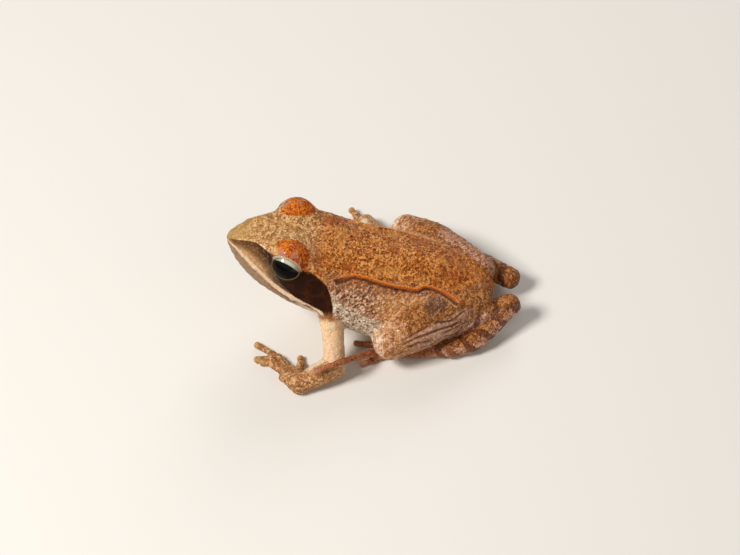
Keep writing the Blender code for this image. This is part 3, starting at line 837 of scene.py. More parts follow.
@dataclass
class Leg:
    """Thigh, shank, tarsus and foot of one side.

    Each bone below the knee has how far it melts into what it meets, and where it
    begins on the limb.
    """

    side: Side
    knee: Point
    heel: Point
    rise: float
    climbs: bool
    hip: Point = (17.8, 2.8, 6.1)
    bend: Point = (17.7, 8.0, 2.15)
    ankle: Point = (13.5, 9.7, 1.5)
    sole: Point = (6.6, 9.3, 0.9)
    thigh_size: tuple = ((2.9, 3.7, 3.9, 2.9), (2.6, 3.5, 4.0, 2.8))
    shank_radii: tuple = (2.0, 2.05, 2.0, 1.6)
    tarsus_radii: tuple = (1.65, 1.7, 1.4)
    sole_size: tuple = ((1.3, 1.9), (1.2, 0.85))
    toes: tuple = (
        ((5.6, 8.3, 0.8), (4.6, 7.3, 0.6), (3.6, 6.3, 0.45)),
        ((5.0, 8.6, 0.8), (3.0, 7.3, 0.6), (0.9, 6.1, 0.45)),
        ((4.6, 9.0, 0.8), (1.3, 8.4, 0.6), (-2.2, 7.9, 0.45)),
        ((4.4, 9.4, 0.8), (-0.6, 9.6, 0.6), (-5.6, 9.0, 0.45)),
        ((4.6, 9.9, 0.8), (1.9, 11.0, 0.6), (-0.8, 12.3, 0.45)),
    )
    climbing_toe: tuple = (
        (4.4, 9.4, 0.85),
        (1.6, 10.4, 1.3),
        (-0.4, 12.5, 3.0),
        (-2.9, 15.1, 4.9),
        (-5.3, 16.3, 5.0),
        (-7.4, 17.1, 4.5),
    )
    toe_radii: tuple = (0.8, 0.6, 0.66, 0.52, 0.58, 0.44, 0.5)
    web_reach: float = 0.5
    web_notch: float = 0.62
    thigh_melts: float = 1.1
    melts: Point = (0.45, 0.5, 0.7)
    begins: Point = (40.0, 70.0, 81.0)
    toes_begin: float = 88.0
    webs_begin: float = 30.0

    @property
    def nodes(self) -> list[str]:
        """The solids that the skin stands for."""
        return [f"{part}_{self.side.word}" for part in ("thigh", "shank", "tarsus", "foot")]

    def _toe_paths(self) -> list[Array]:
        """The middle of each toe, with the fourth one raised where it climbs."""
        toes = list(self.toes)
        if self.climbs:
            toes[3] = self.climbing_toe
        return [np.array([self.side.put(point) for point in toe]) for toe in toes]

    def _web(self, first: Array, second: Array) -> Web:
        """The web between two toes, from the sole to a notch."""
        sole = self.side.put(self.sole)
        reach = self.web_reach * min(np.linalg.norm(toe[-1] - toe[0]) for toe in (first, second))
        ends = []
        for toe in (first, second):
            run = np.concatenate([[0], np.cumsum(np.linalg.norm(np.diff(toe, axis=0), axis=1))])
            ends.append(curve(toe, [np.interp(reach, run, np.arange(len(toe)))])[0])
        notch = sole + ((ends[0] + ends[1]) / 2 - sole) * self.web_notch
        corners = np.array([sole, ends[0], notch, ends[1]])
        return Web(0.3, Group.LEG, self.webs_begin, corners=corners)

    def thigh(self) -> Tube:
        """The tube of the thigh, raised in its middle."""
        hip, knee = self.side.put(self.hip), self.side.put(self.knee)
        path = straight(hip, knee)
        for middle in path[1:3]:
            middle[2] += self.rise
        wide, high = self.thigh_size
        return Tube(self.thigh_melts, Group.LEG, path=path, widths=wide, heights=high, sides=32)

    def forms(self) -> list[Form]:
        """Tubes for each bone and toe, and the webs."""
        points = (self.knee, self.heel, self.bend, self.ankle, self.sole)
        knee, heel, bend, ankle, sole = (self.side.put(p) for p in points)
        bones = (
            (straight(knee, heel), self.shank_radii, self.shank_radii),
            ([heel, bend, ankle], self.tarsus_radii, self.tarsus_radii),
            ([ankle, sole], *self.sole_size),
        )
        forms: list[Form] = [self.thigh()]
        forms += [
            Tube(melts, Group.LEG, begins, path=path, widths=wide, heights=high)
            for melts, begins, (path, wide, high) in zip(self.melts, self.begins, bones)
        ]
        paths = self._toe_paths()
        forms += [digit(list(path), self.toe_radii, Group.LEG, self.toes_begin) for path in paths]
        forms += [self._web(first, second) for first, second in zip(paths, paths[1:])]
        return forms


@dataclass
class Skin:
    """The one surface that covers all of the frog's flesh."""

    trunk: Trunk
    head: Head
    arms: list[Arm]
    legs: list[Leg]
    shift: Array
    voxel: float = 0.33
    settle_steps: int = 5
    mask_line: tuple = (
        (-20.6, 1.1),
        (-19.6, 0.98),
        (-18.3, 0.92),
        (-16.6, 0.89),
        (-15.4, 1.01),
        (-14.5, 1.12),
        (-13.4, 1.28),
        (-9.6, 1.16),
        (-8.6, 1.12),
        (-7.8, 1.2),
        (-6.4, 1.3),
        (-5.5, 1.39),
        (-5.0, 1.56),
        (-4.7, 1.8),
        (-4.8, 2.08),
        (-6.2, 2.14),
        (-7.8, 2.1),
        (-10.0, 1.98),
        (-11.6, 1.88),
        (-12.8, 1.68),
        (-14.2, 1.42),
        (-15.8, 1.24),
        (-17.2, 1.16),
        (-18.6, 1.1),
    )
    stripe_line: tuple = (
        (-20.9, 1.46),
        (-20.2, 1.52),
        (-19.0, 1.63),
        (-17.8, 1.73),
        (-16.0, 1.81),
        (-14.0, 1.88),
        (-12.4, 1.95),
        (-10.0, 2.04),
        (-7.8, 2.14),
        (-6.2, 2.2),
        (-5.0, 2.24),
    )
    line_width: float = 6.0
    lid_patch: Point = (0.35, 3.2, 2.6)
    lid_reach: float = 5.5
    fold_middle: float = 5.4
    fold_half: float = 9.6
    fold_end_slope: float = 3.0
    arm_edge: tuple[float, float] = (-0.4, 0.7)
    leg_edge: tuple[float, float] = (-0.3, 0.5)
    wrinkle_width: float = 1.08
    wrinkle_depth: float = 0.27
    wrinkle_start: float = 3.84
    wrinkle_lean: float = 0.09
    wrinkle_wander: float = 0.3
    thigh_radius: float = 3.8
    thigh_middle: float = 13.0
    wart_height: float = 0.12
    dimple_depth: float = 0.035
    mouth_zone: tuple[float, float] = (0.7, 0.4)
    lid_zone: tuple[float, float] = (1.6, 1.3)
    nostril_zone: tuple[float, float] = (1.0, 0.75)
    digit_height: float = 1.6
    fold_zone: Point = (4.6, 9.2, 0.8)
    lid_ring: tuple[float, float] = (0.75, 4.4)
    thigh_zone: Point = (0.3, 40.0, 125.0)
    lid_fade: tuple[float, float] = (1.15, 0.85)
    least_steep: float = 0.2
    longest_step: float = 0.4
    wrinkle_rear: tuple[float, float] = (2.0, 5.0)
    wrinkle_top: tuple[float, float] = (THIGH_SIDE, 52.0)
    wrinkle_foot: tuple[float, float] = (120.0, 110.0)
    wrinkle_gaps: tuple[float, float] = (-1.9, -0.3)
    ripple_widths: tuple = (4.5, 4.0, 1.7, 1.15)
    wart_peaks: tuple[float, float] = (0.9, 1.9)
    wart_lines: tuple[float, float] = (2.6, 2.0)
    smooth_tip: tuple[float, float] = (1.0, 3.0)
    smooth_fold: tuple[float, float] = (0.9, 1.8)

    def __post_init__(self) -> None:
        """Gathers the forms in the order in which they melt together."""
        self.forms: list[Form] = self.head.forms()
        for limb in (*self.arms, *self.legs):
            self.forms += limb.forms()

    @property
    def nodes(self) -> list[str]:
        """The solids that the skin stands for."""
        drums = [f"tympanum_{side.word}" for side in Side]
        limbs = [node for limb in (*self.arms, *self.legs) for node in limb.nodes]
        return ["torso", "head", "lower_jaw", *drums, *limbs]

    def distance(self, points: Array) -> Reach:
        """Distance from the smooth union of all forms, and the way out of it."""
        distance, way = self.trunk.distance(points)
        for form in self.forms:
            near = form.near(points)
            if not near.any():
                continue
            here = (distance[near], way[near])
            distance[near], way[near] = melt(here, form.distance(points[near]), form.melts)
        return distance, way

    def settle(self, points: Array, steps: int) -> Array:
        """Moves points onto the smooth union, by its distance over its slope."""
        for _ in range(steps):
            distance, way = self.distance(points)
            steep = np.maximum((way**2).sum(1), self.least_steep)
            step = np.clip(distance, -self.longest_step, self.longest_step)
            points = points - way * (step / steep)[:, None]
        return points

    def sketch(self) -> bpy.types.Object:
        """All forms joined and drawn over with small even faces."""
        verts: list[Array] = []
        faces: list[tuple] = []
        base = 0
        for form in (self.trunk, *self.forms):
            shell, sides = form.shell()
            verts.append(shell)
            faces += [tuple(base + index for index in side) for side in sides]
            base += len(shell)
        mesh = bpy.data.meshes.new("skin")
        mesh.from_pydata(np.concatenate(verts).tolist(), [], faces)
        obj = bpy.data.objects.new("skin", mesh)
        bpy.context.scene.collection.objects.link(obj)
        remesh = obj.modifiers.new("skin", "REMESH")
        remesh.mode = "VOXEL"
        remesh.voxel_size = self.voxel
        seen = obj.evaluated_get(bpy.context.evaluated_depsgraph_get())
        obj.data = bpy.data.meshes.new_from_object(seen)
        obj.modifiers.clear()
        bpy.data.meshes.remove(mesh)
        self._keep_outside(obj)
        return obj

    @staticmethod
    def _keep_outside(obj: bpy.types.Object) -> None:
        """Drops every shell but the one that holds the highest point."""
        mesh = obj.data
        chosen = np.zeros(len(mesh.vertices), bool)
        chosen[read_points(mesh)[:, 2].argmax()] = True
        start_editing(obj, "VERT")
        bpy.ops.object.mode_set(mode="OBJECT")
        mesh.vertices.foreach_set("select", chosen)
        bpy.ops.object.mode_set(mode="EDIT")
        bpy.ops.mesh.select_linked()
        bpy.ops.mesh.select_all(action="INVERT")
        bpy.ops.mesh.delete(type="VERT")
        bpy.ops.object.mode_set(mode="OBJECT")

    def fine(self, points: Array, level: int) -> Array:
        """Which points lie where the skin needs smaller faces.

        Args:
            points: Points of the settled skin.
            level: 0 for the first division and 1 for the second.

        Returns:
            True round the eyes, the mouth and the nostrils, and for the first
            division also on the folds, the digits and the sides of the thighs.
        """
        head = (points[:, 0] < NECK_X) & (points[:, 2] > CHIN_Z)
        chosen = head & (np.abs(self.head.mouth_gap(points)) < self.mouth_zone[level])
        inner, reach = self.lid_ring
        for side in Side:
            share, _ = self.head.opening_at(points, side)
            radius = np.linalg.norm(points - side.put(self.head.eye_centre), axis=1)
            chosen |= (share < self.lid_zone[level]) & (share > inner) & (radius < reach)
            pit, _ = self.trunk.on(*self.head.nostril, side)
            chosen |= np.linalg.norm(points - pit, axis=1) < self.nostril_zone[level]
        if level == 0:
            chosen |= points[:, 2] < self.digit_height
            reach, top, foot = self.thigh_zone
            for leg in self.legs:
                thigh = leg.thigh()
                turn = thigh.turn(points)
                chosen |= (thigh.distance(points)[0] < reach) & (turn > top) & (turn < foot)
            middle, half, reach = self.fold_zone
            fold = np.abs(self.trunk.line_at(points) - 1.0) * self.line_width
            chosen |= (fold < reach) & (np.abs(points[:, 0] - middle) < half)
        return chosen

    def divide(self, obj: bpy.types.Object, chosen: Array) -> None:
        """Divides the faces whose corners are all chosen."""
        mesh = obj.data
        loops = np.empty(len(mesh.loops), np.int32)
        mesh.loops.foreach_get("vertex_index", loops)
        starts = np.empty(len(mesh.polygons), np.int32)
        mesh.polygons.foreach_get("loop_start", starts)
        picked = np.minimum.reduceat(chosen[loops].astype(np.int8), starts).astype(bool)
        start_editing(obj, "FACE")
        bpy.ops.mesh.select_all(action="DESELECT")
        bpy.ops.object.mode_set(mode="OBJECT")
        mesh.polygons.foreach_set("select", picked)
        bpy.ops.object.mode_set(mode="EDIT")
        bpy.ops.mesh.subdivide(number_cuts=1)
        bpy.ops.object.mode_set(mode="OBJECT")

    def marks(self, points: Array, way: Array) -> dict[str, Array]:
        """The values that the shader paints by, one for each point.

        Args:
            points: The settled skin, before it is carved.
            way: Its outward normals.

        Returns:
            Distances in millimetres from the lines of the markings, and shares of
            how far a point belongs to arm, leg and eyelid.
        """
        line = self.trunk.line_at(points)
        flat = np.stack([points[:, 0], line * self.line_width], 1)
        scale = np.array([1.0, self.line_width])
        body = self.trunk.distance(points)[0]
        group = {Group.ARM: np.full(len(points), FAR), Group.LEG: np.full(len(points), FAR)}
        along, turn, tip, best = (np.full(len(points), value) for value in (0.0, 0.0, FAR, FAR))
        for form in self.forms:
            if form.group is Group.BODY:
                continue
            near = form.near(points)
            here = points[near]
            away = form.distance(here)[0]
            group[form.group][near] = np.minimum(group[form.group][near], away)
            closer = away < best[near]
            best[near] = np.minimum(best[near], away)
            if isinstance(form, Tube):
                run = form.along(here)
                along[near] = np.where(closer, run, along[near])
                turn[near] = np.where(closer, form.turn(here), turn[near])
                left = form.begins + form.run[-1] - run if form.is_digit else FAR
                tip[near] = np.where(closer, left, tip[near])
        is_leg = group[Group.LEG] < group[Group.ARM]
        fold = np.array(self.head.fold_line)
        fold_at = np.interp(points[:, 0], fold[:, 0], fold[:, 1])
        stripe = np.array(self.stripe_line)
        below = np.where(line < np.interp(points[:, 0], stripe[:, 0], stripe[:, 1]), -1, 1)
        past = np.maximum(np.abs(points[:, 0] - self.fold_middle) - self.fold_half, 0)
        past = past * np.where(line < fold_at, -self.fold_end_slope, self.fold_end_slope)
        lid = np.zeros(len(points))
        share = np.full(len(points), FAR)
        height = np.full(len(points), -FAR)
        for side in Side:
            at, rise = self.head.opening_at(points, side)
            x, y, z = (points - side.put(self.head.eye_centre)).T
            close = np.hypot(np.hypot(x, y), z) < self.lid_reach
            share = np.where(close, np.minimum(share, at), share)
            height = np.where(close, rise, height)
            middle, half_long, half_wide = self.lid_patch
            inwards = np.maximum(-y * side.value, 0)
            patch = np.hypot((x - middle) / half_long, inwards / half_wide)
            lid = np.maximum(lid, close * ease(*self.lid_fade, patch))
        drums = [self.trunk.on(*self.head.drum, side)[0] for side in Side]
        drum = np.min([np.linalg.norm(points - middle, axis=1) for middle in drums], 0)
        return {
            "x": points[:, 0],
            "y": points[:, 1],
            "line": line,
            "mask": line_distance(flat, np.array(self.mask_line) * scale, closed=True),
            "stripe": line_distance(flat, stripe * scale) * below,
            "ridge": line_distance(flat, np.array(self.head.ridge_line) * scale),
            "fold": (line - fold_at) * self.line_width + past,
            "arm": ease(*self.arm_edge, body - group[Group.ARM]),
            "leg": ease(*self.leg_edge, body - group[Group.LEG]) * is_leg,
            "along": along,
            "turn": turn,
            "tip": tip,
            "down": -way[:, 2],
            "fore": -way[:, 0],
            "lid": lid,
            "opening": share,
            "over": height,
            "drum": drum,
        }

    def relief(self, points: Array, marks: dict[str, Array]) -> tuple[Array, Array]:
        """How far the skin stands out in wrinkles, warts and dimples.

        Args:
            points: The settled skin.
            marks: Its marks.

        Returns:
            The height, and the share of a wrinkle's depth. Wrinkles run along the
            outer side of the thigh: each is the square of the trough of a cosine of
            the length of arc round the thigh, bent by a long ripple. Warts are the
            peaks of a short ripple, and dimples a shorter one. Eyelids, mask, fold and
            the tips of the digits stay smooth.
        """
        wander, gaps, warts, dimples = (
            ripple(points, width, seed) for seed, width in enumerate(self.ripple_widths, 1)
        )
        along, turn = marks["along"], marks["turn"]
        thigh = marks["leg"] * ease(*THIGH_FRONT, along) * ease(*self.wrinkle_rear, along)
        arc = np.radians(turn) * self.thigh_radius
        arc = arc + self.wrinkle_lean * (along - self.thigh_middle)
        arc = arc + self.wrinkle_wander * wander
        wave = np.cos(2 * math.pi * (arc - self.wrinkle_start) / self.wrinkle_width)
        wave = 0.5 + 0.5 * wave
        side = ease(*self.wrinkle_top, turn) * ease(*self.wrinkle_foot, turn)
        wrinkle = thigh * side * (1 - wave) ** 2 * ease(*self.wrinkle_gaps, gaps)
        rough = (marks["mask"] < 0) * (1 - marks["lid"]) * ease(*self.smooth_tip, marks["tip"])
        rough = rough * ease(*self.smooth_fold, np.abs(marks["fold"]))
        wart = ease(*self.wart_peaks, warts) * ease(*self.wart_lines, marks["line"])
        height = self.wart_height * wart + self.dimple_depth * dimples
        return height * rough - self.wrinkle_depth * wrinkle, wrinkle

    def build(self, paint: bpy.types.Material) -> bpy.types.Object:
        """Draws, divides, settles, carves and marks the skin.

        Args:
            paint: The material of the skin.

        Returns:
            The skin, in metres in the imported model's frame.
        """
        obj = self.sketch()
        for level in range(2):
            points = self.settle(read_points(obj.data), 2)
            write_points(obj.data, points)
            self.divide(obj, self.fine(points, level))
        points = self.settle(read_points(obj.data), self.settle_steps)
        _, way = self.distance(points)
        way = unit(way)
        marks = self.marks(points, way)
        height, marks["wrinkle"] = self.relief(points, marks)
        for name, values in marks.items():
            slot = obj.data.attributes.new(name, "FLOAT", "POINT")
            slot.data.foreach_set("value", values.astype(np.float32))
        points = self.head.carve(points + way * height[:, None], way)
        points[:, 2] = np.maximum(points[:, 2], 0.0)
        write_points(obj.data, (points + self.shift) * MM)
        finish_mesh(obj, paint)
        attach(obj, "root")
        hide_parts(*self.nodes)
        return obj


def start_editing(obj: bpy.types.Object, what: str) -> None:
    """Puts one object alone in edit mode, to pick its vertices or its faces."""
    bpy.ops.object.select_all(action="DESELECT")
    obj.select_set(True)
    bpy.context.view_layer.objects.active = obj
    bpy.ops.object.mode_set(mode="EDIT")
    bpy.ops.mesh.select_mode(type=what)


def read_points(mesh: bpy.types.Mesh) -> Array:
    """A mesh's vertices, one a row."""
    flat = np.empty(len(mesh.vertices) * 3)
    mesh.vertices.foreach_get("co", flat)
    return flat.reshape(-1, 3)


def write_points(mesh: bpy.types.Mesh, points: Array) -> None:
    """Puts a mesh's vertices in new places."""
    mesh.vertices.foreach_set("co", points.ravel())
    mesh.update()


def finish_mesh(obj: bpy.types.Object, paint: bpy.types.Material) -> None:
    """Divides faces of more than four corners into triangles, turns all faces outwards, shades smooth
    and paints.
    """
    form = bmesh.new()
    form.from_mesh(obj.data)
    bmesh.ops.triangulate(form, faces=[face for face in form.faces if len(face.verts) > 4])
    bmesh.ops.recalc_face_normals(form, faces=form.faces)
    form.to_mesh(obj.data)
    form.free()
    obj.data.shade_smooth()
    obj.data.materials.clear()
    obj.data.materials.append(paint)


@dataclass
class Eye:
    """An eyeball with a slight bulge in front, marked for its iris."""

    side: Side
    head: Head
    shift: Array
    radius: float = 2.8
    bulge: float = 0.14
    rings: int = 96
    sides: int = 128

    def build(self, paint: bpy.types.Material) -> bpy.types.Object:
        """Rings of latitude round the way the eye looks.

        Args:
            paint: The material of the eye.

        Returns:
            The eye. Its radius grows towards the front by the bulge times the
            square of the cosine of the latitude from the front.
        """
        centre, look, long, short = self.head.eye_frame(self.side)
        tilt = np.linspace(0, math.pi, self.rings + 2)[1:-1, None]
        turn = np.arange(self.sides)[None] * 2 * math.pi / self.sides
        radius = self.radius + self.bulge * np.clip(np.cos(tilt), 0, 1) ** 2
        level = np.sin(tilt) * radius
        grid = (
            (level * np.cos(turn))[..., None] * long
            + (level * np.sin(turn))[..., None] * short
            + (np.cos(tilt) * radius + 0 * turn)[..., None] * look
        )
        front = look * (self.radius + self.bulge)
        verts, faces = closed_rings(grid, front, -look * self.radius)
        mesh = bpy.data.meshes.new(f"eyeball_{self.side.word}")
        mesh.from_pydata(((verts + centre + self.shift) * MM).tolist(), [], faces)
        for name, way in (("across", long), ("rise", short), ("front", look)):
            slot = mesh.attributes.new(name, "FLOAT", "POINT")
            slot.data.foreach_set("value", (verts @ way).astype(np.float32))
        obj = bpy.data.objects.new(mesh.name, mesh)
        bpy.context.scene.collection.objects.link(obj)
        finish_mesh(obj, paint)
        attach(obj, "root")
        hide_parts(f"eye_{self.side.word}")
        return obj


class Socket:
    """The output of a node, with the sums and products of plain numbers."""

    def __init__(self, desk: "Desk", link: bpy.types.NodeSocket) -> None:
        """Keeps the socket and the desk that its nodes are made on."""
        self.desk = desk
        self.link = link

    def _math(self, operation: str, *values: "Socket | float") -> "Socket":
        """A Math node on the values."""
        return self.desk.add("ShaderNodeMath", {"operation": operation}, dict(enumerate(values)))

    def __add__(self, other: "Socket | float") -> "Socket":
        """Sum."""
        return self._math("ADD", self, other)

    def __sub__(self, other: "Socket | float") -> "Socket":
        """Difference."""
        return self._math("SUBTRACT", self, other)

    def __rsub__(self, other: float) -> "Socket":
        """A number less this socket."""
        return self._math("SUBTRACT", other, self)

    def __mul__(self, other: "Socket | float") -> "Socket":
        """Product."""
        return self._math("MULTIPLY", self, other)

    def __truediv__(self, other: "Socket | float") -> "Socket":
        """Quotient."""
        return self._math("DIVIDE", self, other)

    def __rtruediv__(self, other: float) -> "Socket":
        """A number over this socket."""
        return self._math("DIVIDE", other, self)

    def __pow__(self, other: float) -> "Socket":
        """Power."""
        return self._math("POWER", self, other)

    __radd__ = __add__
    __rmul__ = __mul__

    def size(self) -> "Socket":
        """The value without its sign."""
        return self._math("ABSOLUTE", self)

    def ease(self, low: float, high: float) -> "Socket":
        """Smooth step from 0 at low to 1 at high. Low may be the greater."""
        settings = {"interpolation_type": "SMOOTHSTEP"}
        values = {"Value": self, "From Min": min(low, high), "From Max": max(low, high)}
        if low > high:
            values |= {"To Min": 1.0, "To Max": 0.0}
        return self.desk.add("ShaderNodeMapRange", settings, values)

    def most(self, other: "Socket | float") -> "Socket":
        """The greater of the two."""
        return self._math("MAXIMUM", self, other)


class Desk:
    """Makes the nodes of one material."""

    def __init__(self, name: str) -> None:
        """Starts a material with its surface shader only."""
        self.material = bpy.data.materials.new(name)
        self.material.use_nodes = True
        self.tree = self.material.node_tree
        self.shader = self.tree.nodes["Principled BSDF"]
        self.place = self.add("ShaderNodeTexCoord", {}, {}, "Object")

    def add(self, kind: str, settings: dict, inputs: dict, output: int | str = 0) -> Socket:
        """Adds a node.

        Args:
            kind: The node's type.
            settings: What is set on the node itself, before its sockets.
            inputs: Values or sockets, by the input's name or number.
            output: The output that is wanted, by name or number.

        Returns:
            The output as a socket for expressions.
        """
        node = self.tree.nodes.new(kind)
        for key, value in settings.items():
            setattr(node, key, value)
        for key, value in inputs.items():
            target = node.inputs[key]
            if isinstance(value, Socket):
                self.tree.links.new(value.link, target)
            elif isinstance(value, tuple) and len(value) == 3 and target.type == "RGBA":
                target.default_value = (*value, 1.0)
            else:
                target.default_value = value
        return Socket(self, node.outputs[output])

    def mark(self, name: str) -> Socket:
        """A value that the mesh carries."""
        return self.add("ShaderNodeAttribute", {"attribute_name": name}, {}, "Fac")

    def leaning(self, stretch: float, lean: float) -> Socket:
        """Coordinates that draw patterns out along X, tipped up by so many degrees."""
        turn = (0.0, -math.radians(lean), 0.0)
        values = {"Vector": self.place, "Rotation": turn, "Scale": (stretch, 1.0, 1.0)}
        return self.add("ShaderNodeMapping", {"vector_type": "TEXTURE"}, values)

    def noise(
        self, width: float, detail: float = 2.0, rough: float = 0.5, place: Socket | None = None
    ) -> Socket:
        """Noise whose patches are about 'width' millimetres wide."""
        values = {"Vector": place or self.place, "Scale": 1 / (width * MM)}
        values |= {"Detail": detail, "Roughness": rough}
        return self.add("ShaderNodeTexNoise", {}, values)

    def cells(
        self, width: float, output: str = "Distance", place: Socket | None = None
    ) -> Socket:
        """Cells about 'width' millimetres wide: the distance from their middles, or a shade each."""
        values = {"Vector": place or self.place, "Scale": 1 / (width * MM)}
        return self.add("ShaderNodeTexVoronoi", {}, values, output)

    def mix(
        self, first: "Socket | Colour", second: "Socket | Colour", share: "Socket | float"
    ) -> Socket:
        """The first colour where the share is 0 and the second where it is 1."""
        return self.add("ShaderNodeMix", {"data_type": "RGBA"}, {0: share, 6: first, 7: second}, 2)

    def tones(
        self, dark: Colour, middle: Colour, light: Colour, value: Socket, spread: float = 0.13
    ) -> Socket:
        """Three colours in turn, as a noise goes from below its middle of 0.5 to above it."""
        lower = self.mix(dark, middle, value.ease(0.5 - spread, 0.5))
        return self.mix(lower, light, value.ease(0.5, 0.5 + spread))

    def bump(self, height: Socket, depth: float, under: Socket | None = None) -> Socket:
        """A Bump node for a height of 0 to 1 that stands for 'depth' millimetres."""
        inputs = {"Height": height, "Distance": depth * MM, "Strength": 1.0}
        if under:
            inputs["Normal"] = under
        return self.add("ShaderNodeBump", {}, inputs)

    def finish(self, **inputs: "Socket | Colour | float") -> bpy.types.Material:
        """Links what changes over the surface and sets what is the same all over it.

        Args:
            inputs: Sockets or plain values, by the shader's own input names with an
                underscore for each blank.

        Returns:
            The finished material.
        """
        for key, value in inputs.items():
            target = self.shader.inputs[key.replace("_", " ")]
            if isinstance(value, Socket):
                self.tree.links.new(value.link, target)
            elif target.type == "RGBA":
                target.default_value = (*value, 1.0)
            else:
                target.default_value = value
        return self.material


@dataclass(frozen=True)
class Grain:
    """The noises and marks that all colours of the skin share."""

    desk: Desk
    grit: Socket
    blot: Socket
    pearl: Socket
    mottle: Socket

    def mark(self, name: str) -> Socket:
        """A value that the mesh carries."""
        return self.desk.mark(name)

    def tones(self, dark: Colour, middle: Colour, light: Colour, spread: float = 0.1) -> Socket:
        """Three colours in turn, by the mottled noise."""
        return self.desk.tones(dark, middle, light, self.mottle, spread)

    def ragged(self, name: str, coarse: float, fine: float = 0.0) -> Socket:
        """A mark made uneven by so much of the coarse noise and of the fine one."""
        value = self.mark(name) + (self.blot - 0.5) * coarse
        return value + (self.grit - 0.5) * fine if fine else value

    def bands(self, along: Socket, width: float) -> Socket:
        """Waves from 0 to 1 along a limb, one for each width in millimetres."""
        turn = along * (2 * math.pi / width)
        wave = self.desk.add("ShaderNodeMath", {"operation": "SINE"}, {0: turn})
        return wave * 0.5 + 0.5


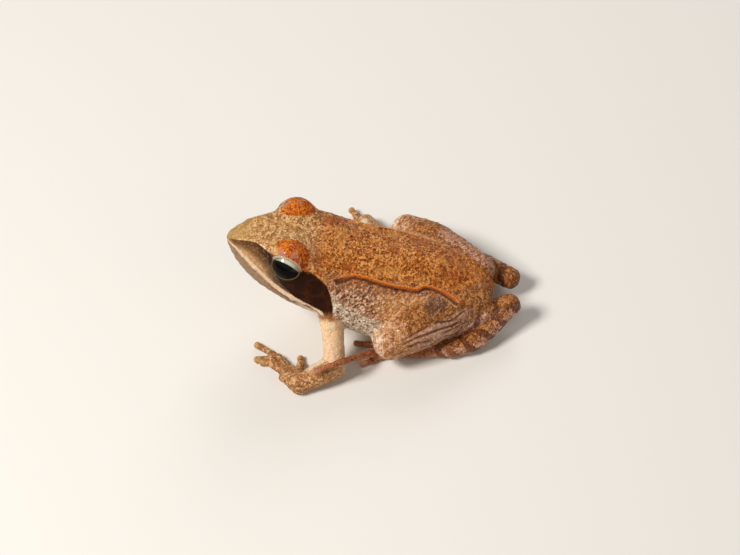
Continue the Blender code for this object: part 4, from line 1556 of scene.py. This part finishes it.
@dataclass(frozen=True)
class SkinFinish:
    """Colours of the moist, granular skin, as linear red, green and blue."""

    back: Colour = (0.42, 0.125, 0.018)
    back_light: Colour = (0.80, 0.34, 0.09)
    back_dark: Colour = (0.155, 0.035, 0.006)
    back_gold: Colour = (0.62, 0.27, 0.065)
    back_red: Colour = (0.36, 0.075, 0.009)
    crown: Colour = (0.50, 0.25, 0.085)
    crown_light: Colour = (0.78, 0.49, 0.24)
    crown_dark: Colour = (0.25, 0.10, 0.028)
    snout: Colour = (0.42, 0.27, 0.085)
    cheek: Colour = (0.52, 0.30, 0.14)
    mask: Colour = (0.016, 0.0022, 0.0005)
    mask_red: Colour = (0.06, 0.011, 0.002)
    band: Colour = (0.12, 0.042, 0.011)
    band_dark: Colour = (0.035, 0.010, 0.002)
    stripe: Colour = (0.74, 0.54, 0.38)
    lip_under: Colour = (0.22, 0.055, 0.02)
    # Tan for the front of the lower jaw: painted shade under the head.
    jaw: Colour = (0.22, 0.115, 0.055)
    ridge: Colour = (0.78, 0.55, 0.34)
    lid: Colour = (0.46, 0.085, 0.006)
    lid_light: Colour = (0.70, 0.22, 0.02)
    lid_dark: Colour = (0.27, 0.028, 0.003)
    lid_grey: Colour = (0.44, 0.22, 0.16)
    lid_edge: Colour = (0.46, 0.40, 0.33)
    lid_ring: Colour = (0.20, 0.14, 0.06)
    fold: Colour = (0.50, 0.085, 0.005)
    # Painted highlight on the upper side of the fold.
    fold_highlight: Colour = (0.84, 0.33, 0.06)
    # Painted shadow along the lower edge of the fold, also the dark that the fold's front end turns to.
    fold_shadow_and_dark: Colour = (0.06, 0.012, 0.004)
    flank: Colour = (0.41, 0.185, 0.09)
    flank_light: Colour = (0.82, 0.56, 0.39)
    flank_dark: Colour = (0.13, 0.042, 0.016)
    low: Colour = (0.52, 0.38, 0.26)
    low_light: Colour = (0.90, 0.76, 0.60)
    low_dark: Colour = (0.15, 0.085, 0.05)
    belly: Colour = (0.75, 0.62, 0.44)
    arm: Colour = (0.45, 0.20, 0.07)
    arm_light: Colour = (0.76, 0.48, 0.26)
    arm_dark: Colour = (0.21, 0.08, 0.022)
    shoulder: Colour = (0.27, 0.085, 0.025)
    peach: Colour = (0.85, 0.56, 0.34)
    cream: Colour = (0.88, 0.72, 0.51)
    tip: Colour = (0.60, 0.36, 0.12)
    leg: Colour = (0.29, 0.098, 0.024)
    leg_light: Colour = (0.54, 0.235, 0.075)
    leg_dark: Colour = (0.14, 0.042, 0.011)
    leg_grey: Colour = (0.13, 0.072, 0.042)
    pink: Colour = (0.46, 0.21, 0.12)
    pink_light: Colour = (0.72, 0.46, 0.34)
    toe: Colour = (0.40, 0.13, 0.052)
    # Dark of the bars on the shank, and painted shade in the furrows between the thigh's wrinkles.
    dark_bars_and_crease_shade: Colour = (0.10, 0.022, 0.006)
    shine: Colour = (1.0, 0.75, 0.52)

    def material(self) -> bpy.types.Material:
        """Builds the skin's material."""
        desk = Desk("frog_skin")
        grit, blot, pearl = desk.noise(0.22, 2.0, 0.6), desk.noise(1.8, 3.0, 0.6), desk.cells(0.36)
        mottle = desk.cells(0.33, "Color") * 0.27 + grit * 0.5 + blot * 0.13
        mottle = mottle + desk.noise(4.5, 2.0) * 0.1
        grain = Grain(desk, grit, blot, pearl, mottle)
        colour = self._lines(grain, self._mask(grain, self._head(grain, self._torso(grain))))
        colour = desk.mix(colour, self._arm(grain), desk.mark("arm"))
        fold = desk.mark("fold").size().ease(0.9, 0.7) * desk.mark("x").ease(10.0, 11.5)
        fold = fold * desk.mark("y").ease(1.0, -1.0)
        colour = desk.mix(colour, self._leg(grain), desk.mark("leg") * (1 - fold))
        masked = desk.mark("mask").ease(-0.1, 0.2)
        smooth = masked.most(desk.mark("lid") * 0.3)
        domes = ((1 - pearl * pearl) * 0.7 + grit * 0.5) * (1 - smooth * 0.7)
        wet = desk.noise(0.45, 2.0, 0.6).ease(0.48, 0.6) * (1 - masked)
        return desk.finish(
            Base_Color=colour,
            Roughness=0.6 - wet * 0.45,
            Coat_Weight=desk.noise(0.26, 1.0).ease(0.56, 0.66) * (1 - masked) * 0.7,
            Coat_Roughness=0.22,
            Normal=desk.bump(domes, 0.17, desk.bump(desk.noise(1.3, 2.0), 0.14)),
            Specular_IOR_Level=0.18,
            Specular_Tint=self.shine,
            Subsurface_Weight=0.1,
            Subsurface_Radius=(1.0, 0.35, 0.15),
            Subsurface_Scale=0.0005,
        )

    def _torso(self, grain: Grain) -> Socket:
        """Colour of back, flanks and belly.

        Args:
            grain: The shared noises and marks.

        Returns:
            Orange brown with dark and light patches on the back, pink grains between
            brown furrows on the flank, and grey then cream ones below.
        """
        desk, mix, blot, x = grain.desk, grain.desk.mix, grain.blot, grain.mark("x")
        cloud = desk.noise(4.0, 3.0, 0.6)
        back = grain.tones(self.back_dark, self.back, self.back_light, 0.085)
        back = mix(back, self.back_red, cloud.ease(0.48, 0.36) * 0.55)
        back = mix(back, self.back_gold, cloud.ease(0.52, 0.64) * 0.5)
        back = mix(back, self.back_red, x.ease(8.0, 15.0) * 0.3)
        line = grain.ragged("line", 0.4, 0.2)
        lean = desk.leaning(2.4, 42.0)
        streak = desk.cells(0.29, "Color", lean) * 0.3 + desk.noise(0.24, 2.0, 0.6, lean) * 0.55
        streak = streak + blot * 0.15
        flank = desk.tones(self.flank_dark, self.flank, self.flank_light, streak, 0.1)
        flank = mix(flank, self.back_light, x.ease(0.0, 5.0) * line.ease(1.1, 1.4) * 0.45)
        flank = mix(flank, self.back, line.ease(1.45, 1.15) * blot.ease(0.36, 0.5) * 0.7)
        flank = mix(flank, self.flank_dark, blot.ease(0.48, 0.36) * line.ease(1.7, 1.2) * 0.4)
        low = grain.tones(self.low_dark, self.low, self.low_light, 0.13)
        low = mix(low, self.low_light, grain.pearl.ease(0.42, 0.2) * 0.6)
        side = mix(flank, low, (line - x * 0.03).ease(1.62, 1.95))
        side = mix(side, self.belly, line.ease(2.6, 3.1))
        side = mix(side, self.flank_dark, grain.pearl.ease(0.5, 0.85) * 0.5)
        return mix(back, side, line.ease(1.0, 1.12) * (x + blot * 2.0).ease(-6.0, -3.4))

    def _head(self, grain: Grain, torso: Socket) -> Socket:
        """Colour of the head's top, cheeks and jaw over the torso's. The jaw goes over to a tan towards
        its front that is painted shade under the head.
        """
        mix = grain.desk.mix
        x, line = grain.ragged("x", 2.0, 1.5), grain.ragged("line", 0.05, 0.05)
        crown = grain.tones(self.crown_dark, self.crown, self.crown_light, 0.11)
        crown = mix(crown, self.snout, x.ease(-16.0, -21.6) * 0.75)
        cheek = mix(crown, self.cheek, line.ease(1.0, 1.2) * 0.5)
        # Cream at the back of the jaw, going over to a tan towards its front that is painted shade
        # under the head.
        jaw = mix(self.belly, self.jaw, x.ease(-7.0, -13.0) * 0.85)
        jaw = mix(jaw, self.low_dark, grain.blot.ease(0.44, 0.36) * 0.5)
        cheek = mix(cheek, jaw, grain.ragged("stripe", 0.3, 0.3).ease(0.4, 0.75))
        cheek = mix(cheek, self.ridge, grain.mark("ridge").ease(0.4, 0.1) * line.ease(1.1, 0.98))
        behind = x + line.ease(1.0, 1.3) * 2.5
        return mix(torso, cheek, behind.ease(-5.4, -9.4).most(line.ease(1.9, 2.1) * x.ease(-5.0, -6.0)))

    def _mask(self, grain: Grain, colour: Socket) -> Socket:
        """The dark mask, brown and fading in front of the eye, and the eyelids.

        Args:
            grain: The shared noises and marks.
            colour: What lies under them.

        Returns:
            The colour.
        """
        mix, blot, x = grain.desk.mix, grain.blot, grain.mark("x")
        opening, over = grain.mark("opening"), grain.ragged("over", 1.4)
        mask = grain.ragged("mask", 0.0, 0.3)
        band = mix(self.band, self.band_dark, x.ease(-18.0, -14.5))
        band = mix(band, self.cheek, grain.mottle.ease(0.54, 0.7) * 0.4)
        front = x.ease(-10.5, -12.5) * grain.mark("line").ease(0.98, 1.06)
        colour = mix(colour, band, grain.ragged("mask", 0.7, 0.5).ease(-2.5, -0.5) * front * 0.9)
        dark = mix(self.mask, self.mask_red, blot.ease(0.5, 0.68) * 0.6)
        dark = mix(dark, self.mask_red, (grain.mark("drum") - 1.5).size().ease(0.25, 0.05) * 0.4)
        dark = mix(dark, band, grain.ragged("x", 1.5).ease(-14.0, -16.0))
        colour = mix(colour, dark, mask.ease(-0.1, 0.12))
        lid = grain.tones(self.lid_dark, self.lid, self.lid_light, 0.09)
        lid = mix(lid, self.lid_grey, grain.desk.noise(2.4, 2.0).ease(0.54, 0.64) * 0.75)
        patch = grain.ragged("lid", 1.1, 0.5).ease(0.35, 0.65)
        colour = mix(colour, lid, patch * (over + x * 0.35).ease(-2.76, -2.16))
        upper = (opening - 1.1).size().ease(0.09, 0.05) * grain.mark("over").ease(0.2, 1.2)
        colour = mix(colour, self.lid_edge, upper * 0.85)
        colour = mix(colour, self.lid_ring, (opening - 1.045).size().ease(0.03, 0.01) * 0.6)
        return mix(colour, self.mask, opening.ease(1.03, 1.0))

    def _lines(self, grain: Grain, colour: Socket) -> Socket:
        """The pale stripe on the lip, and the bright fold with a painted highlight on its upper side
        and a painted shadow along its lower edge.

        Args:
            grain: The shared noises and marks.
            colour: What lies under them.

        Returns:
            The colour.
        """
        mix, x = grain.desk.mix, grain.mark("x")
        stripe = grain.ragged("stripe", 0.25, 0.45)
        under = (stripe - 0.68).size().ease(0.3, 0.1) * x.ease(-16.5, -13.0)
        colour = mix(colour, self.lip_under, under * 0.8)
        pale = mix(self.stripe, self.cheek, grain.mottle.ease(0.5, 0.38) * 0.5)
        colour = mix(colour, pale, stripe.size().ease(0.56, 0.34))
        fold = grain.ragged("fold", 0.3, 0.3)
        # Painted shadow: a dark line just under the fold.
        colour = mix(colour, self.fold_shadow_and_dark, (fold - 0.42).size().ease(0.34, 0.08) * 0.8)
        # Painted highlight on the fold's upper side, going over to its own orange below.
        bright = mix(self.fold_highlight, self.fold, (fold + grain.mottle * 0.5).ease(0.0, 0.32))
        bright = mix(bright, self.back, grain.blot.ease(0.5, 0.4) * 0.5)
        # Towards its front end the fold goes over to the same dark.
        bright = mix(self.fold_shadow_and_dark, bright, grain.ragged("x", 1.5).ease(-4.4, -1.2))
        return mix(colour, bright, fold.size().ease(0.28, 0.13))

    def _arm(self, grain: Grain) -> Socket:
        """Colour of an arm.

        Args:
            grain: The shared noises and marks.

        Returns:
            Brown at the shoulder, peach in front and orange behind down to the elbow,
            partly its own colour and partly painted light from the front, then mottled
            brown with a cream patch, banded fingers and pale tips.
        """
        mix, along, down = grain.desk.mix, grain.mark("along"), grain.mark("down")
        fore = grain.ragged("fore", 0.8)
        upper = grain.tones(self.arm_light, self.peach, self.cream, 0.13)
        # Orange where the upper arm faces back: partly its own colour, partly painted shade away from
        # the light in front.
        upper = mix(upper, self.arm_light, fore.ease(0.0, -0.7) * 0.7)
        lower = grain.tones(self.arm_dark, self.arm, self.arm_light, 0.13)
        patch = along.ease(14.4, 15.2) * along.ease(19.0, 17.5)
        patch = patch * (grain.mark("turn") + grain.blot * 30).ease(20.0, 0.0)
        lower = mix(lower, self.cream, patch * 0.75)
        arm = mix(upper, lower, grain.ragged("along", 3.0).ease(12.8, 14.6))
        top = grain.tones(self.arm_dark, self.shoulder, self.arm)
        arm = mix(top, arm, grain.ragged("along", 1.2).ease(5.5, 6.3))
        bands = grain.bands(along + grain.blot * 1.6, 2.3).ease(0.55, 0.8) * along.ease(24.5, 26.0)
        arm = mix(arm, self.arm_dark, bands * 0.5)
        arm = mix(arm, self.tip, grain.ragged("tip", 0.8).ease(0.8, 0.2) * 0.55)
        return mix(arm, self.belly, down.ease(0.5, 0.95) * 0.6)

    def _leg(self, grain: Grain) -> Socket:
        """Colour of a leg.

        Args:
            grain: The shared noises and marks.

        Returns:
            Orange brown on the thigh with a grey patch near the near hip and pink at
            the far one, pink ridges with painted shade in the furrows between them on
            its side, pale in front of the knee, slanting dark bars from the shank on,
            and reddish toes.
        """
        mix, blot, along = grain.desk.mix, grain.blot, grain.mark("along")
        turn, down = grain.mark("turn"), grain.mark("down")
        thigh = grain.tones(self.leg_dark, self.leg, self.leg_light)
        grey = grain.tones(self.leg_dark, self.leg_grey, self.pink, 0.13)
        pink = grain.tones(self.leg_dark, self.pink, self.pink_light, 0.13)
        far = grain.mark("y").ease(-1.0, 1.0)
        spot = (grain.ragged("along", 3.0) - 7.3).size().ease(2.2, 1.0)
        spot = spot * (turn - 8).size().ease(34.0, 16.0)
        leg = mix(thigh, grey, spot * (1 - far))
        rear = far * grain.ragged("along", 3.0).ease(10.0, 8.0)
        leg = mix(leg, pink, rear * (turn + blot * 20).ease(2.0, 14.0) * 0.6)
        ridge = (turn - THIGH_SIDE).ease(0.0, 12.0)
        ridge = ridge * grain.ragged("along", 4.0).ease(*THIGH_FRONT)
        side = mix(mix(thigh, pink, 0.6), self.pink_light, blot.ease(0.62, 0.42) * 0.4)
        leg = mix(leg, side, ridge * turn.ease(125.0, 110.0) * along.ease(1.0, 5.0))
        # Painted shade in the furrows between the wrinkles.
        leg = mix(leg, self.dark_bars_and_crease_shade, grain.mark("wrinkle").ease(0.1, 0.9) * 0.75)
        front = grain.tones(self.leg, self.leg_light, self.pink_light, 0.1)
        leg = mix(leg, front, along.ease(11.5, 15.5) * along.ease(30.0, 20.0) * 0.65)
        bars = grain.bands(along + turn * 0.012 + blot * 2.0, 3.1).ease(0.6, 0.8)
        shank = mix(thigh, pink, (turn + blot * 60).ease(60.0, 90.0))
        leg = mix(leg, mix(shank, self.dark_bars_and_crease_shade, bars * 0.75), along.ease(30.0, 36.0))
        toes = grain.tones(self.leg_dark, self.toe, self.pink, 0.16)
        leg = mix(leg, toes, along.ease(80.0, 86.0))
        leg = mix(leg, self.pink, grain.mark("tip").ease(1.1, 0.5) * 0.5)
        knee = (along - 16.8).size().ease(3.0, 1.5).most((along - 40.0).size().ease(3.5, 2.0))
        pale = grain.tones(self.pink, self.pink_light, self.cream, 0.08)
        leg = mix(leg, pale, knee * grain.ragged("fore", 0.8).ease(0.15, 0.5) * 0.8)
        return mix(leg, self.belly, down.ease(0.5, 0.95) * 0.6)


@dataclass(frozen=True)
class EyeFinish:
    """Colours of the wet eye, as linear red, green and blue."""

    pupil: Colour = (0.0015, 0.0015, 0.0015)
    iris: Colour = (0.03, 0.016, 0.007)
    upper: Colour = (0.55, 0.57, 0.43)
    upper_dark: Colour = (0.13, 0.13, 0.08)
    ring: Colour = (0.40, 0.30, 0.12)
    pupil_size: tuple[float, float] = (2.42, 1.62)
    pupil_drop: float = 0.4
    pupil_turn: float = 4.0

    def material(self) -> bpy.types.Material:
        """Builds the eye's material, with a silvery crescent over a wide pupil."""
        desk = Desk("frog_eye")
        across, rise, front = (desk.mark(name) for name in ("across", "rise", "front"))
        turn = math.radians(self.pupil_turn)
        long = across * math.cos(turn) + rise * math.sin(turn)
        short = rise * math.cos(turn) - across * math.sin(turn) + self.pupil_drop
        share = ((long / self.pupil_size[0]) ** 2.0 + (short / self.pupil_size[1]) ** 2.0) ** 0.5
        speck = desk.noise(0.14, 3.0, 0.7)
        bright = (speck * 0.8 - (long * 0.22).size()).ease(-0.2, 0.35)
        colour = desk.mix(self.iris, desk.mix(self.upper_dark, self.upper, bright), rise.ease(0.1, 0.7))
        colour = desk.mix(colour, self.ring, (share - 1.04).size().ease(0.035, 0.01) * 0.8)
        colour = desk.mix(colour, self.pupil, share.ease(1.02, 0.99))
        return desk.finish(
            Base_Color=desk.mix(self.iris, colour, front.ease(0.4, 0.8)),
            Roughness=speck * 0.05 + 0.1,
            Coat_Weight=rise.ease(0.2, 0.9),
            Normal=desk.bump(speck, 0.002),
            Coat_Roughness=0.03,
            Specular_IOR_Level=0.05,
        )


@dataclass
class Studio:
    """Pale floor, soft lights and the camera."""

    shift: Array
    low: float
    target: Point = (0.173, -0.158, 8.0)
    azimuth: float = 10.9
    elevation: float = 49.4
    roll: float = -7.9
    distance: float = 420.0
    pixels_per_mm: float = 6.12
    image_width: int = 740
    sensor: float = 36.0
    floor_colour: Colour = (0.80, 0.78, 0.75)
    floor_size: float = 3.0
    sky: Colour = (1.0, 0.97, 0.92)
    sky_strength: float = 0.2
    lights: tuple = (
        ("key", (-0.28, -0.16, 0.42), 0.16, 2.6, (1.0, 0.96, 0.9)),
        ("fill", (0.45, -0.35, 0.30), 0.5, 0.5, (1.0, 0.97, 0.92)),
        ("rim", (0.10, 0.50, 0.35), 0.3, 1.0, (1.0, 0.98, 0.95)),
    )

    def build(self) -> None:
        """Makes floor, world, lights and camera."""
        self._floor()
        world = bpy.data.worlds.new("studio")
        world.use_nodes = True
        background = world.node_tree.nodes["Background"]
        background.inputs["Color"].default_value = (*self.sky, 1.0)
        background.inputs["Strength"].default_value = self.sky_strength
        bpy.context.scene.world = world
        bpy.context.scene.view_settings.view_transform = "Standard"
        for light in self.lights:
            self._light(*light)
        self._camera()

    def _floor(self) -> None:
        """A wide level sheet at the lowest level of the model."""
        half = self.floor_size / 2
        steps = np.array([(-1, -1), (1, -1), (1, 1), (-1, 1)]) * half
        mesh = bpy.data.meshes.new("floor")
        mesh.from_pydata([(x, y, self.low) for x, y in steps.tolist()], [], [(0, 1, 2, 3)])
        floor = bpy.data.objects.new("floor", mesh)
        bpy.context.scene.collection.objects.link(floor)
        desk = Desk("floor")
        rough = desk.noise(40.0) * 0.1 + 0.6
        grain = desk.bump(desk.noise(3.0), 0.002)
        desk.finish(Base_Color=self.floor_colour, Roughness=rough, Normal=grain)
        mesh.materials.append(desk.material)

    def _light(self, name: str, place: Point, size: float, power: float, colour: Colour) -> None:
        """A square soft light in metres and watts, facing the model."""
        lamp = bpy.data.lights.new(name, "AREA")
        lamp.size = size
        lamp.energy = power
        lamp.color = colour
        light = bpy.data.objects.new(name, lamp)
        light.location = place
        light.rotation_euler = (-Vector(place)).to_track_quat("-Z", "Y").to_euler()
        bpy.context.scene.collection.objects.link(light)

    def _camera(self) -> None:
        """A camera at its distance from the target, rolled about its line of sight."""
        a, e, r = (math.radians(angle) for angle in (self.azimuth, self.elevation, self.roll))
        back = np.array([math.sin(a) * math.cos(e), -math.cos(a) * math.cos(e), math.sin(e)])
        level = np.array([math.cos(a), math.sin(a), 0.0])
        up = np.cross(back, level)
        right = level * math.cos(r) + up * math.sin(r)
        up = up * math.cos(r) - level * math.sin(r)
        lens = bpy.data.cameras.new("camera")
        lens.sensor_width = self.sensor
        lens.lens = self.pixels_per_mm * self.distance / self.image_width * self.sensor
        camera = bpy.data.objects.new("camera", lens)
        turn = Matrix(np.stack([right, up, back], 1).tolist()).to_4x4()
        place = (np.array(self.target) + back * self.distance + self.shift) * MM
        camera.matrix_world = Matrix.Translation(place) @ turn
        bpy.context.scene.collection.objects.link(camera)
        bpy.context.scene.camera = camera


def frame_shift(head: Head) -> Array:
    """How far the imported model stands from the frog's own frame, in millimetres."""
    corners = [np.array(corner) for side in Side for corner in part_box(f"eye_{side.word}")]
    x, _, z = head.eye_centre
    return np.mean(corners, 0) / MM - np.array([x, 0.0, z])


def main() -> None:
    """Builds the skin, the eyes and the studio."""
    logging.basicConfig(level=logging.INFO, format="%(message)s")
    trunk = Trunk(2.0)
    head = Head(trunk)
    arms = [
        Arm(Side.LEFT, (-5.2, 8.4, 8.8), (-4.85, 14.5, 2.6), (-10.5, 17.4, 1.45)),
        Arm(Side.RIGHT, (-4.0, 8.4, 8.8), (-0.6, 12.8, 3.4), (-2.6, 17.4, 1.45), spreads=True),
    ]
    legs = [
        Leg(Side.LEFT, (3.7, 11.4, 4.9), (23.2, 2.6, 4.5), 0.6, True),
        Leg(Side.RIGHT, (4.7, 12.7, 4.9), (22.8, 3.8, 3.3), -0.1, False),
    ]
    shift = frame_shift(head)
    skin = Skin(trunk, head, arms, legs, shift).build(SkinFinish().material())
    LOG.info("%s: %d faces", skin.name, len(skin.data.polygons))
    eye_paint = EyeFinish().material()
    for side in Side:
        eye = Eye(side, head, shift).build(eye_paint)
        LOG.info("%s: %d faces", eye.name, len(eye.data.polygons))
    Studio(shift, CAD_BOX[0].z).build()


if __name__ == "__main__":
    main()
